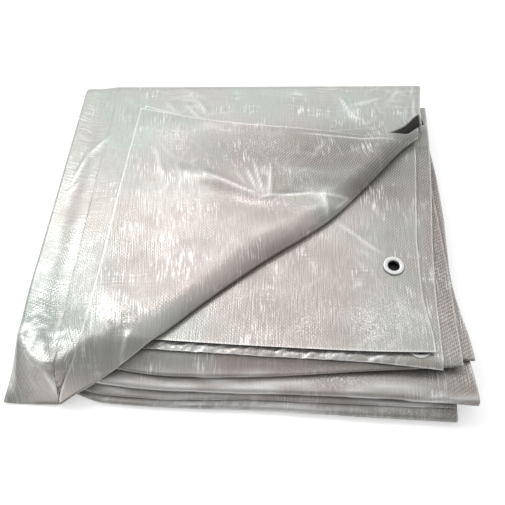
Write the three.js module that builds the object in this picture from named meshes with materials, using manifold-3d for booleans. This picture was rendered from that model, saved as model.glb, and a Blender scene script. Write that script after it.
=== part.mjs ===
// A large silver tarpaulin, folded back and forth into a flat package, with the two top plies
// turned back across a diagonal crease so that their woven underside shows.
// Millimetres, +Z up. While the shapes are worked out, x runs from the left side of the package
// and y from its front edge; the whole group is then moved so that its origin is under the middle.
import * as THREE from "three";
import Module from "manifold-3d";

// Driving dimensions
const PACKAGE_WIDTH = 457.3;
const PACKAGE_DEPTH = 427.3;
const PLY = 1.8;
const LIP = 1.0;
const FRONT_PITCH = 2.5;
const MIDDLE_PITCH = 3.4;
const LOOSE_PITCH = 4.2;
const PANEL_PITCH = 4.6;
const COVER_PLY = 1.4;
const COVER_PITCH = 3.0;
const HEM_WIDTH = 42;
const HEM_GAP = 0.5;
const FIT_GAP = 0.3;

// Eyelets: a rolled aluminium grommet with its washer
const EYELET_OUTER_RADIUS = 11;
const EYELET_BORE_RADIUS = 6;
const EYELET_BARREL_RADIUS = 6.8;
const EYELET_FLANGE = 0.7;
const EYELET_CROWN = 0.5;
const EYELET_SIDES = 28;
const UPPER_EYELET = { x: 385.7, y: 150.2, flat: 19 };
const LOWER_EYELET = { x: 402, y: 59, flat: 12 };

// A smooth curve through a short table, level past its ends, with no overshoot between its points
function curve(places, values) {
  const last = places.length - 1;
  const steps = places.slice(1).map((place, i) => (values[i + 1] - values[i]) / (place - places[i]));
  const slopes = places.map((_, i) => {
    if (i === 0) return steps[0];
    if (i === last) return steps[last - 1];
    const rising = steps[i - 1] * steps[i] > 0;
    return rising ? (2 * steps[i - 1] * steps[i]) / (steps[i - 1] + steps[i]) : 0;
  });
  return (at) => {
    if (at <= places[0]) return values[0];
    if (at >= places[last]) return values[last];
    let i = 0;
    while (at > places[i + 1]) i += 1;
    const span = places[i + 1] - places[i];
    const t = (at - places[i]) / span;
    const hermite = t * t * (3 - 2 * t);
    const start = values[i] * (1 - hermite) + slopes[i] * span * t * (1 - t) * (1 - t);
    return start + values[i + 1] * hermite - slopes[i + 1] * span * t * t * (1 - t);
  };
}

const mix = (from, to, share) => from + (to - from) * share;

function smoothStep(from, to, at) {
  const t = Math.min(Math.max((at - from) / (to - from), 0), 1);
  return t * t * (3 - 2 * t);
}

// The folds of the package, from the floor up. Each is a lower and an upper ply that meet in
// a rounded nose at the front: nose is how far that lies behind the front edge, swell how much the
// fold opens there, both at the places across the width, and right is where its plies end,
// at the places along the depth.
const ACROSS = [20, 60, 100, 165, 250, 350, 440];
const ALONG = [0, 60, 150, 250, 330, 410];
const FOLDS = [
  {
    name: "lowest",
    nose: [18, 15, 5, 3, 4, 2, 0.5],
    swell: [0.3, 0.3, 2.6, 4.2, 5, 7.5, 8],
    right: [440, 440, 441, 441, 440, 438],
  },
  {
    name: "thin",
    nose: [24, 20, 11, 9, 12, 11, 11],
    swell: [0.2, 0.2, 0.2, 0.4, 0.3, 0.2, 0.2],
    right: [437, 438, 440, 440, 439, 436],
  },
  {
    name: "broad",
    nose: [34, 29, 19, 15, 16, 15, 12],
    swell: [2, 2.5, 4.5, 5.5, 5.5, 7, 8],
    right: [458, 453, 447, 449, 446, 440],
  },
  {
    name: "inner",
    nose: [56, 56, 56, 54, 53, 53, 53],
    swell: [0.2, 0.2, 0.2, 0.2, 0.2, 0.2, 0.2],
    right: [454, 457, 449, 453, 449, 443],
  },
  {
    name: "dull",
    nose: [44, 40, 33, 26, 29, 37, 44],
    swell: [1, 1.5, 3, 3.6, 3.2, 1.2, 0.6],
    right: [440, 443, 445, 442, 440, 438],
  },
];
for (const fold of FOLDS) {
  fold.noseAt = curve(ACROSS, fold.nose);
  fold.swellAt = curve(ACROSS, fold.swell);
  fold.rightAt = curve(ALONG, fold.right);
}

// How far the swelling of a fold reaches behind its nose
const SWELL_START = 0.5;
const SWELL_PEAK = 20;
const SWELL_END = 125;
function swellShape(behindNose) {
  const rising = mix(SWELL_START, 1, smoothStep(-SWELL_PEAK / 2, SWELL_PEAK, behindNose));
  return behindNose < SWELL_PEAK ? rising : 1 - smoothStep(SWELL_PEAK, SWELL_END, behindNose);
}

// The inner fold lies further back than its neighbours, which step up over it
const INNER_FOLD = 3;
const STEP_FRONT = 30;
const STEP_BACK = 50;
const PITCH_FRONT = 40;
const PITCH_BACK = 130;

// Height of the middle of a ply of the stack, where ply 0 lies on the floor
function stackHeight(ply, x, y) {
  const pitch = mix(FRONT_PITCH, MIDDLE_PITCH, smoothStep(PITCH_FRONT, PITCH_BACK, y));
  let height = PLY / 2;
  for (let below = 0; below < ply; below += 1) {
    const fold = FOLDS[Math.floor(below / 2)];
    const isInner = below === 2 * INNER_FOLD || below === 2 * INNER_FOLD - 1;
    const present = isInner ? smoothStep(STEP_FRONT, STEP_BACK, y) : 1;
    const opens = below % 2 === 0 ? fold.swellAt(x) * swellShape(y - fold.noseAt(x)) : 0;
    height += present * (pitch + opens);
  }
  return height;
}

const STACK_PLIES = 2 * FOLDS.length;

// The two loose plies that end in a hem: the under ply, with the hidden eyelet, ends the stack,
// and the panel, with the eyelet that shows, lies on it.
const underFront = curve(ACROSS, [53, 52, 50, 47, 45, 43, 37]);
const underRight = curve([37, 60, 123, 187, 247, 333, 390], [422, 423.5, 427, 432, 438.5, 446, 448.5]);
const panelFront = curve(ACROSS, [62, 62, 59, 55, 53, 52, 54]);
const panelRight = curve([54, 64, 113, 170, 238, 324, 390], [415.5, 416, 412, 413, 419, 427, 430]);

const PANEL_RUN = [0, 0.115, 0.224, 0.331, 0.5, 0.7, 0.9, 1];
const UNDER_RUN = [0, 0.025, 0.09, 0.17, 0.3, 0.5, 0.7, 0.9, 1];
const UNDER_BACK = 17;
const PANEL_BACK = 20;
const HEM_LINE_START = 60;
const hemLine = (rightAt, y) => rightAt(y) - HEM_WIDTH - HEM_GAP;

// In front of this line the panel does not follow the plies under it further down
const PANEL_LEVEL_FRONT = 50;
const underHeight = (x, y) => stackHeight(STACK_PLIES - 1, x, y) + LOOSE_PITCH;
const panelHeight = (x, y) => underHeight(x, Math.max(y, PANEL_LEVEL_FRONT)) + PANEL_PITCH;

// The cover plies lie on the panel, and at the front left they slope down to the floor
const SLOPE_TOP = 62;
const SLOPE_POWER = 2;
const SLOPE_FOOT = 1.2;
const slopeStart = (x) => mix(1, 6, smoothStep(20, 57, x));
function coverHeight(x, y) {
  const top = panelHeight(x, Math.max(y, SLOPE_TOP)) + COVER_PITCH;
  const climbed = (y - slopeStart(x)) / (SLOPE_TOP - slopeStart(x));
  const rise = 1 - Math.pow(1 - Math.min(Math.max(climbed, 0), 1), SLOPE_POWER);
  return mix(SLOPE_FOOT, top, rise);
}

// The way up of a ply at a place on it
function normalAt(heightAt, x, y, step) {
  const slopeX = (heightAt(x + step, y) - heightAt(x - step, y)) / (2 * step);
  const slopeY = (heightAt(x, y + step) - heightAt(x, y - step)) / (2 * step);
  return new THREE.Vector3(-slopeX, -slopeY, 1).normalize();
}

// A point that lies off the lowest cover ply, square to it
function coverPoint(x, y, off) {
  const point = new THREE.Vector3(x, y, coverHeight(x, y));
  return point.addScaledVector(normalAt(coverHeight, x, y, 3), off);
}

// The back line of the package, seen from above, leans back towards the right
const backLine = (x) => 405 + 0.05 * x;

// Diagonal creases, edges of the turned back plies, and their left edge, as seen from above
const lowerCrease = curve(
  [57, 115, 154, 192, 245, 320, 371, 411, 428],
  [9, 35, 62, 97, 145, 205, 264, 318, 340],
);
const upperCrease = curve(
  [57, 115, 154, 192, 245, 320, 371, 411, 436],
  [11, 39, 67, 103, 152, 215, 281, 343, 372],
);
const lowerTurnedEdge = curve([91, 215, 287, 382, 411, 428], [357, 335, 330, 322, 332, 350]);
const upperTurnedEdge = curve([92, 215, 287, 330, 385, 410, 436], [366, 340, 335, 337, 345, 356, 386]);
const TURNED_CORNER = 91;
const TURNED_APEX = 57;
const TURNED_START = TURNED_APEX + 1;
const turnedShift = curve([0, 0.03, 0.09, 0.165, 0.66, 1], [0, 0.12, 0.46, 0.69, 0.86, 1]);

// The roll of the crease stands up more towards its right end
const rollRise = curve([57, 150, 300, 400, 430], [0.2, 1, 4, 6, 4.5]);
const ROLL_REACH = 45;

// A closed sheet from a grid of points along its middle, [station][point], with one thickness
// for each point of a station. The faces point away from the sheet.
function sheetGeometry(grid, thicknessAt) {
  const stations = grid.length;
  const points = grid[0].length;
  const positions = [];
  const along = new THREE.Vector3();
  const across = new THREE.Vector3();
  for (const side of [1, -1]) {
    for (let i = 0; i < stations; i += 1) {
      for (let j = 0; j < points; j += 1) {
        const before = grid[i][Math.max(j - 1, 0)];
        const after = grid[i][Math.min(j + 1, points - 1)];
        along.subVectors(after, before).normalize();
        across.subVectors(grid[Math.min(i + 1, stations - 1)][j], grid[Math.max(i - 1, 0)][j]);
        const normal = across.cross(along).normalize();
        const point = grid[i][j].clone().addScaledVector(normal, (side * thicknessAt(j)) / 2);
        positions.push(point.x, point.y, point.z);
      }
    }
  }
  const upper = (i, j) => i * points + j;
  const lower = (i, j) => stations * points + i * points + j;
  const faces = [];
  const quad = (a, b, c, d) => faces.push(a, b, c, a, c, d);
  for (let i = 0; i + 1 < stations; i += 1) {
    for (let j = 0; j + 1 < points; j += 1) {
      quad(upper(i, j), upper(i + 1, j), upper(i + 1, j + 1), upper(i, j + 1));
      quad(lower(i, j), lower(i, j + 1), lower(i + 1, j + 1), lower(i + 1, j));
    }
    quad(upper(i, 0), lower(i, 0), lower(i + 1, 0), upper(i + 1, 0));
    quad(upper(i + 1, points - 1), lower(i + 1, points - 1), lower(i, points - 1), upper(i, points - 1));
  }
  for (let j = 0; j + 1 < points; j += 1) {
    const end = stations - 1;
    quad(upper(0, j + 1), lower(0, j + 1), lower(0, j), upper(0, j));
    quad(upper(end, j), lower(end, j), lower(end, j + 1), upper(end, j + 1));
  }
  const geometry = new THREE.BufferGeometry();
  geometry.setAttribute("position", new THREE.Float32BufferAttribute(positions, 3));
  geometry.setIndex(faces);
  return geometry;
}

// The points of a rounded fold between the ends of two plies: from start to end, bulging by reach
// towards the front (direction -1) or the back (direction 1)
function foldPoints(start, end, reach, direction, count) {
  const points = [];
  for (let i = 1; i <= count; i += 1) {
    const angle = (Math.PI * i) / (count + 1);
    const share = (1 - Math.cos(angle)) / 2;
    const point = new THREE.Vector3().lerpVectors(start, end, share);
    point.y += direction * reach * Math.sin(angle);
    points.push(point);
  }
  return points;
}

// Evenly spread shares from 0 to 1
const shares = (count) => Array.from({ length: count }, (_, i) => i / (count - 1));

// The stack: one sheet laid back and forth, from the floor ply to the under ply
const STACK_LEFT = 17;
const STACK_RIGHT = 440;
const STACK_STATIONS = 11;
const STACK_RUN = [0, 0.035, 0.075, 0.13, 0.24, 0.5, 0.78, 1];
const NOSE_REACH_MOST = 7;
const BACK_STEPS = [13, 18, 15, 19, 16, 17];

function noseReach(fold, x) {
  const lower = 2 * FOLDS.indexOf(fold);
  const y = fold.noseAt(x) + 4;
  return Math.min((stackHeight(lower + 1, x, y) - stackHeight(lower, x, y)) * 0.6, NOSE_REACH_MOST);
}

function stackRun(ply, share) {
  const fold = FOLDS[Math.floor(ply / 2)];
  const frontX = mix(STACK_LEFT, STACK_RIGHT, share);
  const front = fold.noseAt(frontX) + noseReach(fold, frontX);
  const back = backLine(frontX) - BACK_STEPS[Math.floor((ply + 1) / 2)];
  return STACK_RUN.map((part) => {
    const y = mix(front, back, part);
    const x = mix(STACK_LEFT, fold.rightAt(y), share);
    return new THREE.Vector3(x, y, stackHeight(ply, x, y));
  });
}

function underRun(share) {
  const frontX = mix(STACK_LEFT, hemLine(underRight, HEM_LINE_START), share);
  return UNDER_RUN.map((part) => {
    const y = mix(underFront(frontX), backLine(frontX) - UNDER_BACK, part);
    const x = mix(STACK_LEFT, hemLine(underRight, y), share);
    return new THREE.Vector3(x, y, underHeight(x, y));
  });
}

function stackSection(share) {
  const section = [];
  for (let ply = 0; ply <= STACK_PLIES; ply += 1) {
    const goesForward = ply % 2 === 0;
    const points = ply === STACK_PLIES ? underRun(share) : stackRun(ply, share);
    if (goesForward) points.reverse();
    if (ply > 0) {
      const fold = FOLDS[Math.floor((ply - 1) / 2)];
      const reach = goesForward ? MIDDLE_PITCH / 2 : noseReach(fold, points[0].x);
      const start = section[section.length - 1];
      section.push(...foldPoints(start, points[0], reach, goesForward ? 1 : -1, goesForward ? 3 : 5));
    }
    section.push(...points);
  }
  return section;
}

const stackGrid = shares(STACK_STATIONS).map(stackSection);

// The cover ply: it lies over everything, turns down round the left side and the back, and runs
// under the stack, where it goes on as the floor ply
const COVER_LEFT = 1;
const COVER_CORNER = 15;
const COVER_FOOT = 2.4;
const COVER_RUN = [0, 0.015, 0.04, 0.07, 0.105, 0.15, 0.22, 0.36, 0.55, 0.75, 0.9, 1];
const COVER_SIDE_ANGLES = [0, 25, 50, 72, 90];
const COVER_SHARES = [
  0, 0.05, 0.075, 0.1, 0.125, 0.155, 0.19, 0.23, 0.27, 0.31, 0.4, 0.52, 0.65, 0.78, 0.9, 1,
];
const COVER_BACK_ANGLES = [25, 50, 75, 90];
const SMALLEST_SHARE = 1e-6;
const WRAP_RADIUS = 13;
const WRAP_FOOT = 6;
const coverRight = curve([340, 372, 382, 424], [440, 437, 438, 444]);
const COVER_RIGHT_START = 340;
const COVER_FRONT = 1;
const COVER_TUCK = 3;
const RECESS_START = 48;
function coverFront(x) {
  const tucked = upperCrease(Math.max(x, TURNED_APEX)) + COVER_TUCK;
  return mix(COVER_FRONT, tucked, smoothStep(RECESS_START, TURNED_APEX, x));
}

// At its left the cover ply lies on the stack itself, with no panel or inner ply under it
const OFF_START = 28;
const OFF_END = 56;
const coverOff = (x) => COVER_PITCH * smoothStep(OFF_START, OFF_END, x);

// Where the cover ply runs in under the stack it is thin, and lies inside the floor ply
const FOOT_FLOOR = PLY / 2;
const FOOT_TURN = { rise: 1.1, in: 2.5 };
const FOOT_LAP = [7, 19];
const FOOT_LEFT = STACK_LEFT + 2;
const FOOT_RIGHT = STACK_RIGHT - 4;

function coverSection(place) {
  const lowered = (point) => point.setZ(mix(COVER_FOOT, point.z, place.height));
  const section = [];
  const xAt = (y) => (place.share > 0 ? mix(COVER_CORNER, coverRight(y), place.share) : place.x);
  const frontX = xAt(COVER_RIGHT_START);
  const front = coverFront(frontX);
  const backEdge = backLine(frontX) - WRAP_RADIUS;
  for (const part of COVER_RUN) {
    const y = mix(front, backEdge, part);
    section.push(lowered(coverPoint(xAt(y), y, coverOff(xAt(y)))));
  }
  const x = xAt(backEdge);
  const z = section[section.length - 1].z;
  const drop = Math.min(WRAP_RADIUS, Math.max(z - COVER_FOOT, 0));
  for (const degrees of COVER_BACK_ANGLES) {
    const angle = THREE.MathUtils.degToRad(degrees);
    const y = backEdge + WRAP_RADIUS * Math.sin(angle);
    section.push(new THREE.Vector3(x, y, z - drop * (1 - Math.cos(angle))));
  }
  const foot = backEdge + WRAP_RADIUS;
  const footX = place.share > 0 ? x : (x + mix(STACK_LEFT, x, x / COVER_CORNER)) / 2;
  const inX = mix(FOOT_LEFT, FOOT_RIGHT, Math.max((x - COVER_CORNER) / (STACK_RIGHT - COVER_CORNER), 0));
  section.push(new THREE.Vector3(footX, foot, Math.min(WRAP_FOOT, (z + FOOT_FLOOR) / 2)));
  section.push(new THREE.Vector3(mix(x, inX, 0.7), foot - FOOT_TURN.in, FOOT_FLOOR + FOOT_TURN.rise));
  section.push(...FOOT_LAP.map((lap) => new THREE.Vector3(inX, foot - lap, FOOT_FLOOR)));
  return section;
}

const coverPlaces = [
  ...COVER_SIDE_ANGLES.slice(0, -1).map((degrees) => {
    const angle = THREE.MathUtils.degToRad(degrees);
    return { x: mix(COVER_LEFT, COVER_CORNER, 1 - Math.cos(angle)), height: Math.sin(angle), share: 0 };
  }),
  ...COVER_SHARES.map((part) => {
    const share = Math.max(part, SMALLEST_SHARE);
    return { x: COVER_CORNER, height: 1, share };
  }),
];
const coverGrid = coverPlaces.map(coverSection);
const coverThickness = (j) => (j >= coverGrid[0].length - 2 ? LIP : COVER_PLY);

// A turned back ply: it starts inside or as a ply below, goes round the crease and lies on top
const TURNED_RUN = [0, 0.03, 0.07, 0.12, 0.18, 0.28, 0.45, 0.7, 1];
const TURNED_SHARES = [0, 0.025, 0.055, 0.09, 0.13, 0.18, 0.24, 0.32, 0.42, 0.54, 0.67, 0.79, 0.9, 1];

function turnedPly(across, crease, edge, off, corner, right) {
  const baseX = mix(TURNED_START, right, across);
  const edgeX = mix(corner, right, across);
  return TURNED_RUN.map((part) => {
    const x = mix(baseX, edgeX, turnedShift(part));
    const y = mix(crease(baseX), edge(edgeX), part);
    const rise = rollRise(x) * (1 - smoothStep(0, ROLL_REACH, y - lowerCrease(x)));
    return coverPoint(x, y, off + rise);
  });
}

const LAP_INSETS = [9, 4, 0];
const RETURN_RIGHT = 434;
function coverReturnSection(across) {
  const run = turnedPly(
    across, upperCrease, upperTurnedEdge, 2 * COVER_PITCH, TURNED_CORNER + 1, RETURN_RIGHT);
  const x = mix(TURNED_START, RETURN_RIGHT, across);
  const lap = LAP_INSETS.map((inset) => coverPoint(x, upperCrease(x) + inset, COVER_PITCH));
  return [...lap, ...foldPoints(lap[lap.length - 1], run[0], COVER_PITCH / 2, -1, 3), ...run];
}
const coverReturnGrid = TURNED_SHARES.map(coverReturnSection);
const coverReturnThickness = (j) => (j < 2 ? LIP : COVER_PLY);

// The inner ply: the panel with its free front edge, a fold at the back, a run under the cover
// ply, the wide roll round the crease, and the top of the turned back corner
const PANEL_LEFT = 27;
const INNER_RUN = [1, 0.78, 0.55, 0.36, 0.22, 0.14, 0.09, 0.05, 0.02, 0];
const INNER_RIGHT = 428;
const ROLL_REACH_OUT = COVER_PITCH * 1.4;

function panelPoint(across, part) {
  const frontX = mix(PANEL_LEFT, hemLine(panelRight, HEM_LINE_START), across);
  const y = mix(panelFront(frontX), backLine(frontX) - PANEL_BACK, part);
  const x = mix(PANEL_LEFT, hemLine(panelRight, y), across);
  return new THREE.Vector3(x, y, panelHeight(x, y));
}

function innerSection(across) {
  const panel = PANEL_RUN.map((part) => panelPoint(across, part));
  const baseX = mix(TURNED_START, INNER_RIGHT, across);
  const crease = lowerCrease(baseX);
  const inner = INNER_RUN.map((part) => {
    const y = mix(crease, backLine(baseX) - PANEL_BACK, part);
    return coverPoint(baseX, y, 0);
  });
  const turned = turnedPly(
    across, lowerCrease, lowerTurnedEdge, 3 * COVER_PITCH, TURNED_CORNER, INNER_RIGHT);
  const backFold = foldPoints(panel[panel.length - 1], inner[0], COVER_PITCH / 2, 1, 2);
  const roll = foldPoints(inner[inner.length - 1], turned[0], ROLL_REACH_OUT, -1, 5);
  return [...panel, ...backFold, ...inner, ...roll, ...turned];
}
const innerGrid = TURNED_SHARES.map(innerSection);

// The side fold that joins the panel to the under ply along their left edges
const SIDE_FOLD_PLACES = [89, 133, 196, 259, 322, 372];
const SIDE_FOLD_LAP = PANEL_LEFT + 6;
const SIDE_FOLD_NEAR = PANEL_LEFT - 2;
const SIDE_FOLD_REACH = 3;
function sideFoldSection(y) {
  const upper = (x) => new THREE.Vector3(x, y, panelHeight(x, y));
  const lower = (x) => new THREE.Vector3(x, y, underHeight(x, y));
  const start = upper(SIDE_FOLD_NEAR);
  const end = lower(SIDE_FOLD_NEAR);
  const bend = [1, 2, 3].map((i) => {
    const angle = (Math.PI * i) / 4;
    const z = mix(start.z, end.z, (1 - Math.cos(angle)) / 2);
    return new THREE.Vector3(SIDE_FOLD_NEAR - SIDE_FOLD_REACH * Math.sin(angle), y, z);
  });
  return [upper(SIDE_FOLD_LAP), start, ...bend, end, lower(SIDE_FOLD_LAP)];
}
const sideFoldGrid = SIDE_FOLD_PLACES.map(sideFoldSection);

// Hems: the doubled strips along the right edge of the panel and of the under ply
const HEM_ACROSS = [0, 0.5, 1];
const PANEL_PLY = {
  front: panelFront, right: panelRight, height: panelHeight, back: PANEL_BACK, run: PANEL_RUN,
};
const UNDER_PLY = {
  front: underFront, right: underRight, height: underHeight, back: UNDER_BACK, run: UNDER_RUN,
};

function hemGrid(ply) {
  return HEM_ACROSS.map((across) => ply.run.slice(0, -1).map((part) => {
    const frontX = hemLine(ply.right, HEM_LINE_START) + HEM_WIDTH * across;
    const y = mix(ply.front(frontX), backLine(frontX) - ply.back, part);
    const x = ply.right(y) - HEM_WIDTH * (1 - across);
    return new THREE.Vector3(x, y, ply.height(x, y));
  }));
}

// Moves a shape made round the Z axis to its place on a ply, square to it
function seatMatrix(heightAt, place) {
  const way = normalAt(heightAt, place.x, place.y, place.flat);
  const turn = new THREE.Quaternion().setFromUnitVectors(new THREE.Vector3(0, 0, 1), way);
  const behind = heightAt(place.x, place.y + place.flat);
  const before = heightAt(place.x, place.y - place.flat);
  const seat = new THREE.Vector3(place.x, place.y, (behind + before) / 2);
  return new THREE.Matrix4().compose(seat, turn, new THREE.Vector3(1, 1, 1));
}

const EYELET_OUTER_SLOPE = 1.2;
const EYELET_INNER_SLOPE = 1.4;
function eyeletGeometry() {
  const face = PLY / 2 + FIT_GAP;
  const rim = face + EYELET_FLANGE;
  const crown = rim + EYELET_CROWN;
  const profile = [
    [EYELET_BORE_RADIUS, -rim],
    [EYELET_OUTER_RADIUS, -rim],
    [EYELET_OUTER_RADIUS, -face],
    [EYELET_BARREL_RADIUS, -face],
    [EYELET_BARREL_RADIUS, face],
    [EYELET_OUTER_RADIUS, face],
    [EYELET_OUTER_RADIUS, face + EYELET_FLANGE / 2],
    [EYELET_OUTER_RADIUS - EYELET_OUTER_SLOPE, crown],
    [EYELET_BORE_RADIUS + EYELET_INNER_SLOPE, crown],
    [EYELET_BORE_RADIUS, rim],
    [EYELET_BORE_RADIUS, -rim],
  ];
  const points = profile.map(([radius, height]) => new THREE.Vector2(radius, height));
  const ring = new THREE.LatheGeometry(points, EYELET_SIDES);
  return ring.rotateX(Math.PI / 2);
}

// Solids for cutting and joining
const wasm = await Module();
wasm.setup();

function solidOf(geometry) {
  const vertProperties = new Float32Array(geometry.attributes.position.array);
  const triVerts = new Uint32Array(geometry.index.array);
  const mesh = new wasm.Mesh({ numProp: 3, vertProperties, triVerts });
  mesh.merge();
  return new wasm.Manifold(mesh);
}

function geometryOf(solid) {
  const mesh = solid.getMesh();
  const geometry = new THREE.BufferGeometry();
  geometry.setAttribute("position", new THREE.Float32BufferAttribute(mesh.vertProperties, 3));
  geometry.setIndex(Array.from(mesh.triVerts));
  return geometry;
}

function hemWithHole(ply, place) {
  const strip = sheetGeometry(hemGrid(ply), () => PLY);
  const hole = EYELET_BARREL_RADIUS + FIT_GAP;
  const punch = new THREE.CylinderGeometry(hole, hole, 6 * PLY, EYELET_SIDES);
  punch.rotateX(Math.PI / 2);
  punch.applyMatrix4(seatMatrix(ply.height, place));
  punch.deleteAttribute("normal");
  punch.deleteAttribute("uv");
  return geometryOf(solidOf(strip).subtract(solidOf(punch)));
}

const clothParts = [
  sheetGeometry(stackGrid, () => PLY),
  sheetGeometry(coverGrid, coverThickness),
  sheetGeometry(coverReturnGrid, coverReturnThickness),
  sheetGeometry(innerGrid, () => COVER_PLY),
  sheetGeometry(sideFoldGrid, () => LIP),
];
const cloth = clothParts.map(solidOf).reduce((whole, part) => whole.add(part));

// Materials
const silverCloth = { color: 0xc3c0bb, roughness: 0.38, metalness: 0.35 };
const hemCloth = { color: 0xc0c2bd, roughness: 0.42, metalness: 0.35 };
const aluminium = { color: 0xdfe1e2, roughness: 0.28, metalness: 0.9 };

function named(name, geometry, look) {
  const mesh = new THREE.Mesh(geometry, new THREE.MeshStandardMaterial(look));
  mesh.name = name;
  return mesh;
}

function eyelet(name, heightAt, place) {
  const mesh = named(name, eyeletGeometry(), aluminium);
  mesh.applyMatrix4(seatMatrix(heightAt, place));
  return mesh;
}

const tarp = new THREE.Group();
tarp.add(
  named("tarp_cloth", geometryOf(cloth), silverCloth),
  named("hem_upper", hemWithHole(PANEL_PLY, UPPER_EYELET), hemCloth),
  named("hem_lower", hemWithHole(UNDER_PLY, LOWER_EYELET), hemCloth),
  eyelet("eyelet_upper", panelHeight, UPPER_EYELET),
  eyelet("eyelet_lower", underHeight, LOWER_EYELET),
);
tarp.position.set(-PACKAGE_WIDTH / 2, -PACKAGE_DEPTH / 2, 0);

export default tarp;
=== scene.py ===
"""A large silver tarpaulin, folded into a flat package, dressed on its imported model.

The cloth is one coated, woven sheet. It is built here as four thin sheets that lie where the
solid plies lie: the stack with the loose ply on it, the ply that covers everything, the ply whose
corner is turned back over a diagonal crease, and the part of the cover ply that is turned back
under that corner. Two hems and two eyelets complete it.

Sizes are millimetres. While shapes are worked out, x runs from the left side of the package and
y from its front edge. Meshes are written in metres, with the origin under the middle.
"""

import logging
import math
from dataclasses import dataclass
from enum import Enum

import bpy
import numpy as np
from mathutils import Matrix, Vector


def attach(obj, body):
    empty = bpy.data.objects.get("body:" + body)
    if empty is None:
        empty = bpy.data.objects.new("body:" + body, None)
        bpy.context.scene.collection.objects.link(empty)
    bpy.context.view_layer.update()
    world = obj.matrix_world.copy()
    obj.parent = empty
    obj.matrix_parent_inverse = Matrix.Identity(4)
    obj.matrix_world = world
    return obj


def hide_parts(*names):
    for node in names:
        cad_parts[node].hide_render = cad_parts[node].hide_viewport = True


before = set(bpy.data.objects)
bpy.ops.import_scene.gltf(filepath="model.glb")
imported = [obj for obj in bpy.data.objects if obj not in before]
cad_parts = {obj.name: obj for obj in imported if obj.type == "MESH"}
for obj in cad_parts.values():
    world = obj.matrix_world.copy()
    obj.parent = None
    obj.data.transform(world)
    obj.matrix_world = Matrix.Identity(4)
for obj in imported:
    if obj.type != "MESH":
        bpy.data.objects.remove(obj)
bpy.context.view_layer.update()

LOG = logging.getLogger("tarp")
MM = 0.001
BODY = "root"
IMAGE_SIDE = 505

Array = np.ndarray
Colour = tuple[float, float, float, float]
Pair = tuple[float, float]
Socket = bpy.types.NodeSocket
Material = bpy.types.Material
Object = bpy.types.Object


# Curves and small sums


def smooth_step(start: float, end: float, at: Array | float) -> Array:
    """Rise smoothly from 0 to 1.

    Args:
        start: Where the rise starts.
        end: Where it ends.
        at: The places to work out.

    Returns:
        The height of the rise at each place.
    """
    share = np.clip((np.asarray(at, dtype=float) - start) / (end - start), 0.0, 1.0)
    return share * share * (3 - 2 * share)


def mix(first: Array | float, second: Array | float, share: Array | float) -> Array:
    """Return the value that lies a share of the way from first to second."""
    return first + (second - first) * share


def rows_between(front: Array, back: Array, run: Array) -> Array:
    """Return a row of places from front to back for each station, at shares of the way."""
    return mix(front[:, None], back[:, None], run[None, :])


def stack_xyz(x: Array, y: Array, z: Array) -> Array:
    """Join three arrays of coordinates, which may differ in shape, as points."""
    return np.stack(np.broadcast_arrays(x, y, z), axis=-1).astype(float)


@dataclass(frozen=True)
class Curve:
    """A smooth curve through a short table, level past its ends, with no overshoot."""

    places: tuple[float, ...]
    values: tuple[float, ...]

    def __call__(self, at: Array | float) -> Array:
        """Work out the curve.

        Args:
            at: The places to work out.

        Returns:
            The curve's value at each place.
        """
        places = np.array(self.places, dtype=float)
        values = np.array(self.values, dtype=float)
        spans = np.diff(places)
        steps = np.diff(values) / spans
        slopes = np.empty_like(values)
        slopes[0], slopes[-1] = steps[0], steps[-1]
        product = steps[:-1] * steps[1:]
        total = np.where(product > 0, steps[:-1] + steps[1:], 1.0)
        slopes[1:-1] = np.where(product > 0, 2 * product / total, 0.0)
        spot = np.clip(np.asarray(at, dtype=float), places[0], places[-1])
        i = np.clip(np.searchsorted(places, spot, side="right") - 1, 0, len(spans) - 1)
        t = (spot - places[i]) / spans[i]
        rise = t * t * (3 - 2 * t)
        low = values[i] * (1 - rise) + slopes[i] * spans[i] * t * (1 - t) ** 2
        return low + values[i + 1] * rise - slopes[i + 1] * spans[i] * t * t * (1 - t)


def shares_between(*stops: tuple[float, float, int]) -> Array:
    """Spread shares evenly within each of several spans.

    Args:
        stops: Start, end and number of steps of each span.

    Returns:
        The shares, from the first start to the last end.
    """
    parts = [np.linspace(start, end, count, endpoint=False) for start, end, count in stops]
    return np.concatenate([*parts, [stops[-1][1]]])


# The form of the package


class FoldName(Enum):
    """The folds that show at the front, from the floor up."""

    LOWEST = 0
    THIN = 1
    BROAD = 2
    INNER = 3
    DULL = 4


@dataclass(frozen=True)
class Fold:
    """Two plies that meet in a rounded nose at the front.

    nose is how far it lies behind the front edge, swell how much the fold opens there, and
    right where its plies end.
    """

    nose: tuple[float, ...]
    swell: tuple[float, ...]
    right: tuple[float, ...]

    ACROSS = (20, 60, 100, 165, 250, 350, 440)
    ALONG = (0, 60, 150, 250, 330, 410)

    def nose_at(self, x: Array | float) -> Array:
        """Return how far the nose lies behind the front edge."""
        return Curve(self.ACROSS, self.nose)(x)

    def swell_at(self, x: Array | float) -> Array:
        """Return how much the fold opens at its nose."""
        return Curve(self.ACROSS, self.swell)(x)

    def right_at(self, y: Array | float) -> Array:
        """Return where the plies of the fold end at the right."""
        return Curve(self.ALONG, self.right)(y)


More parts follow.
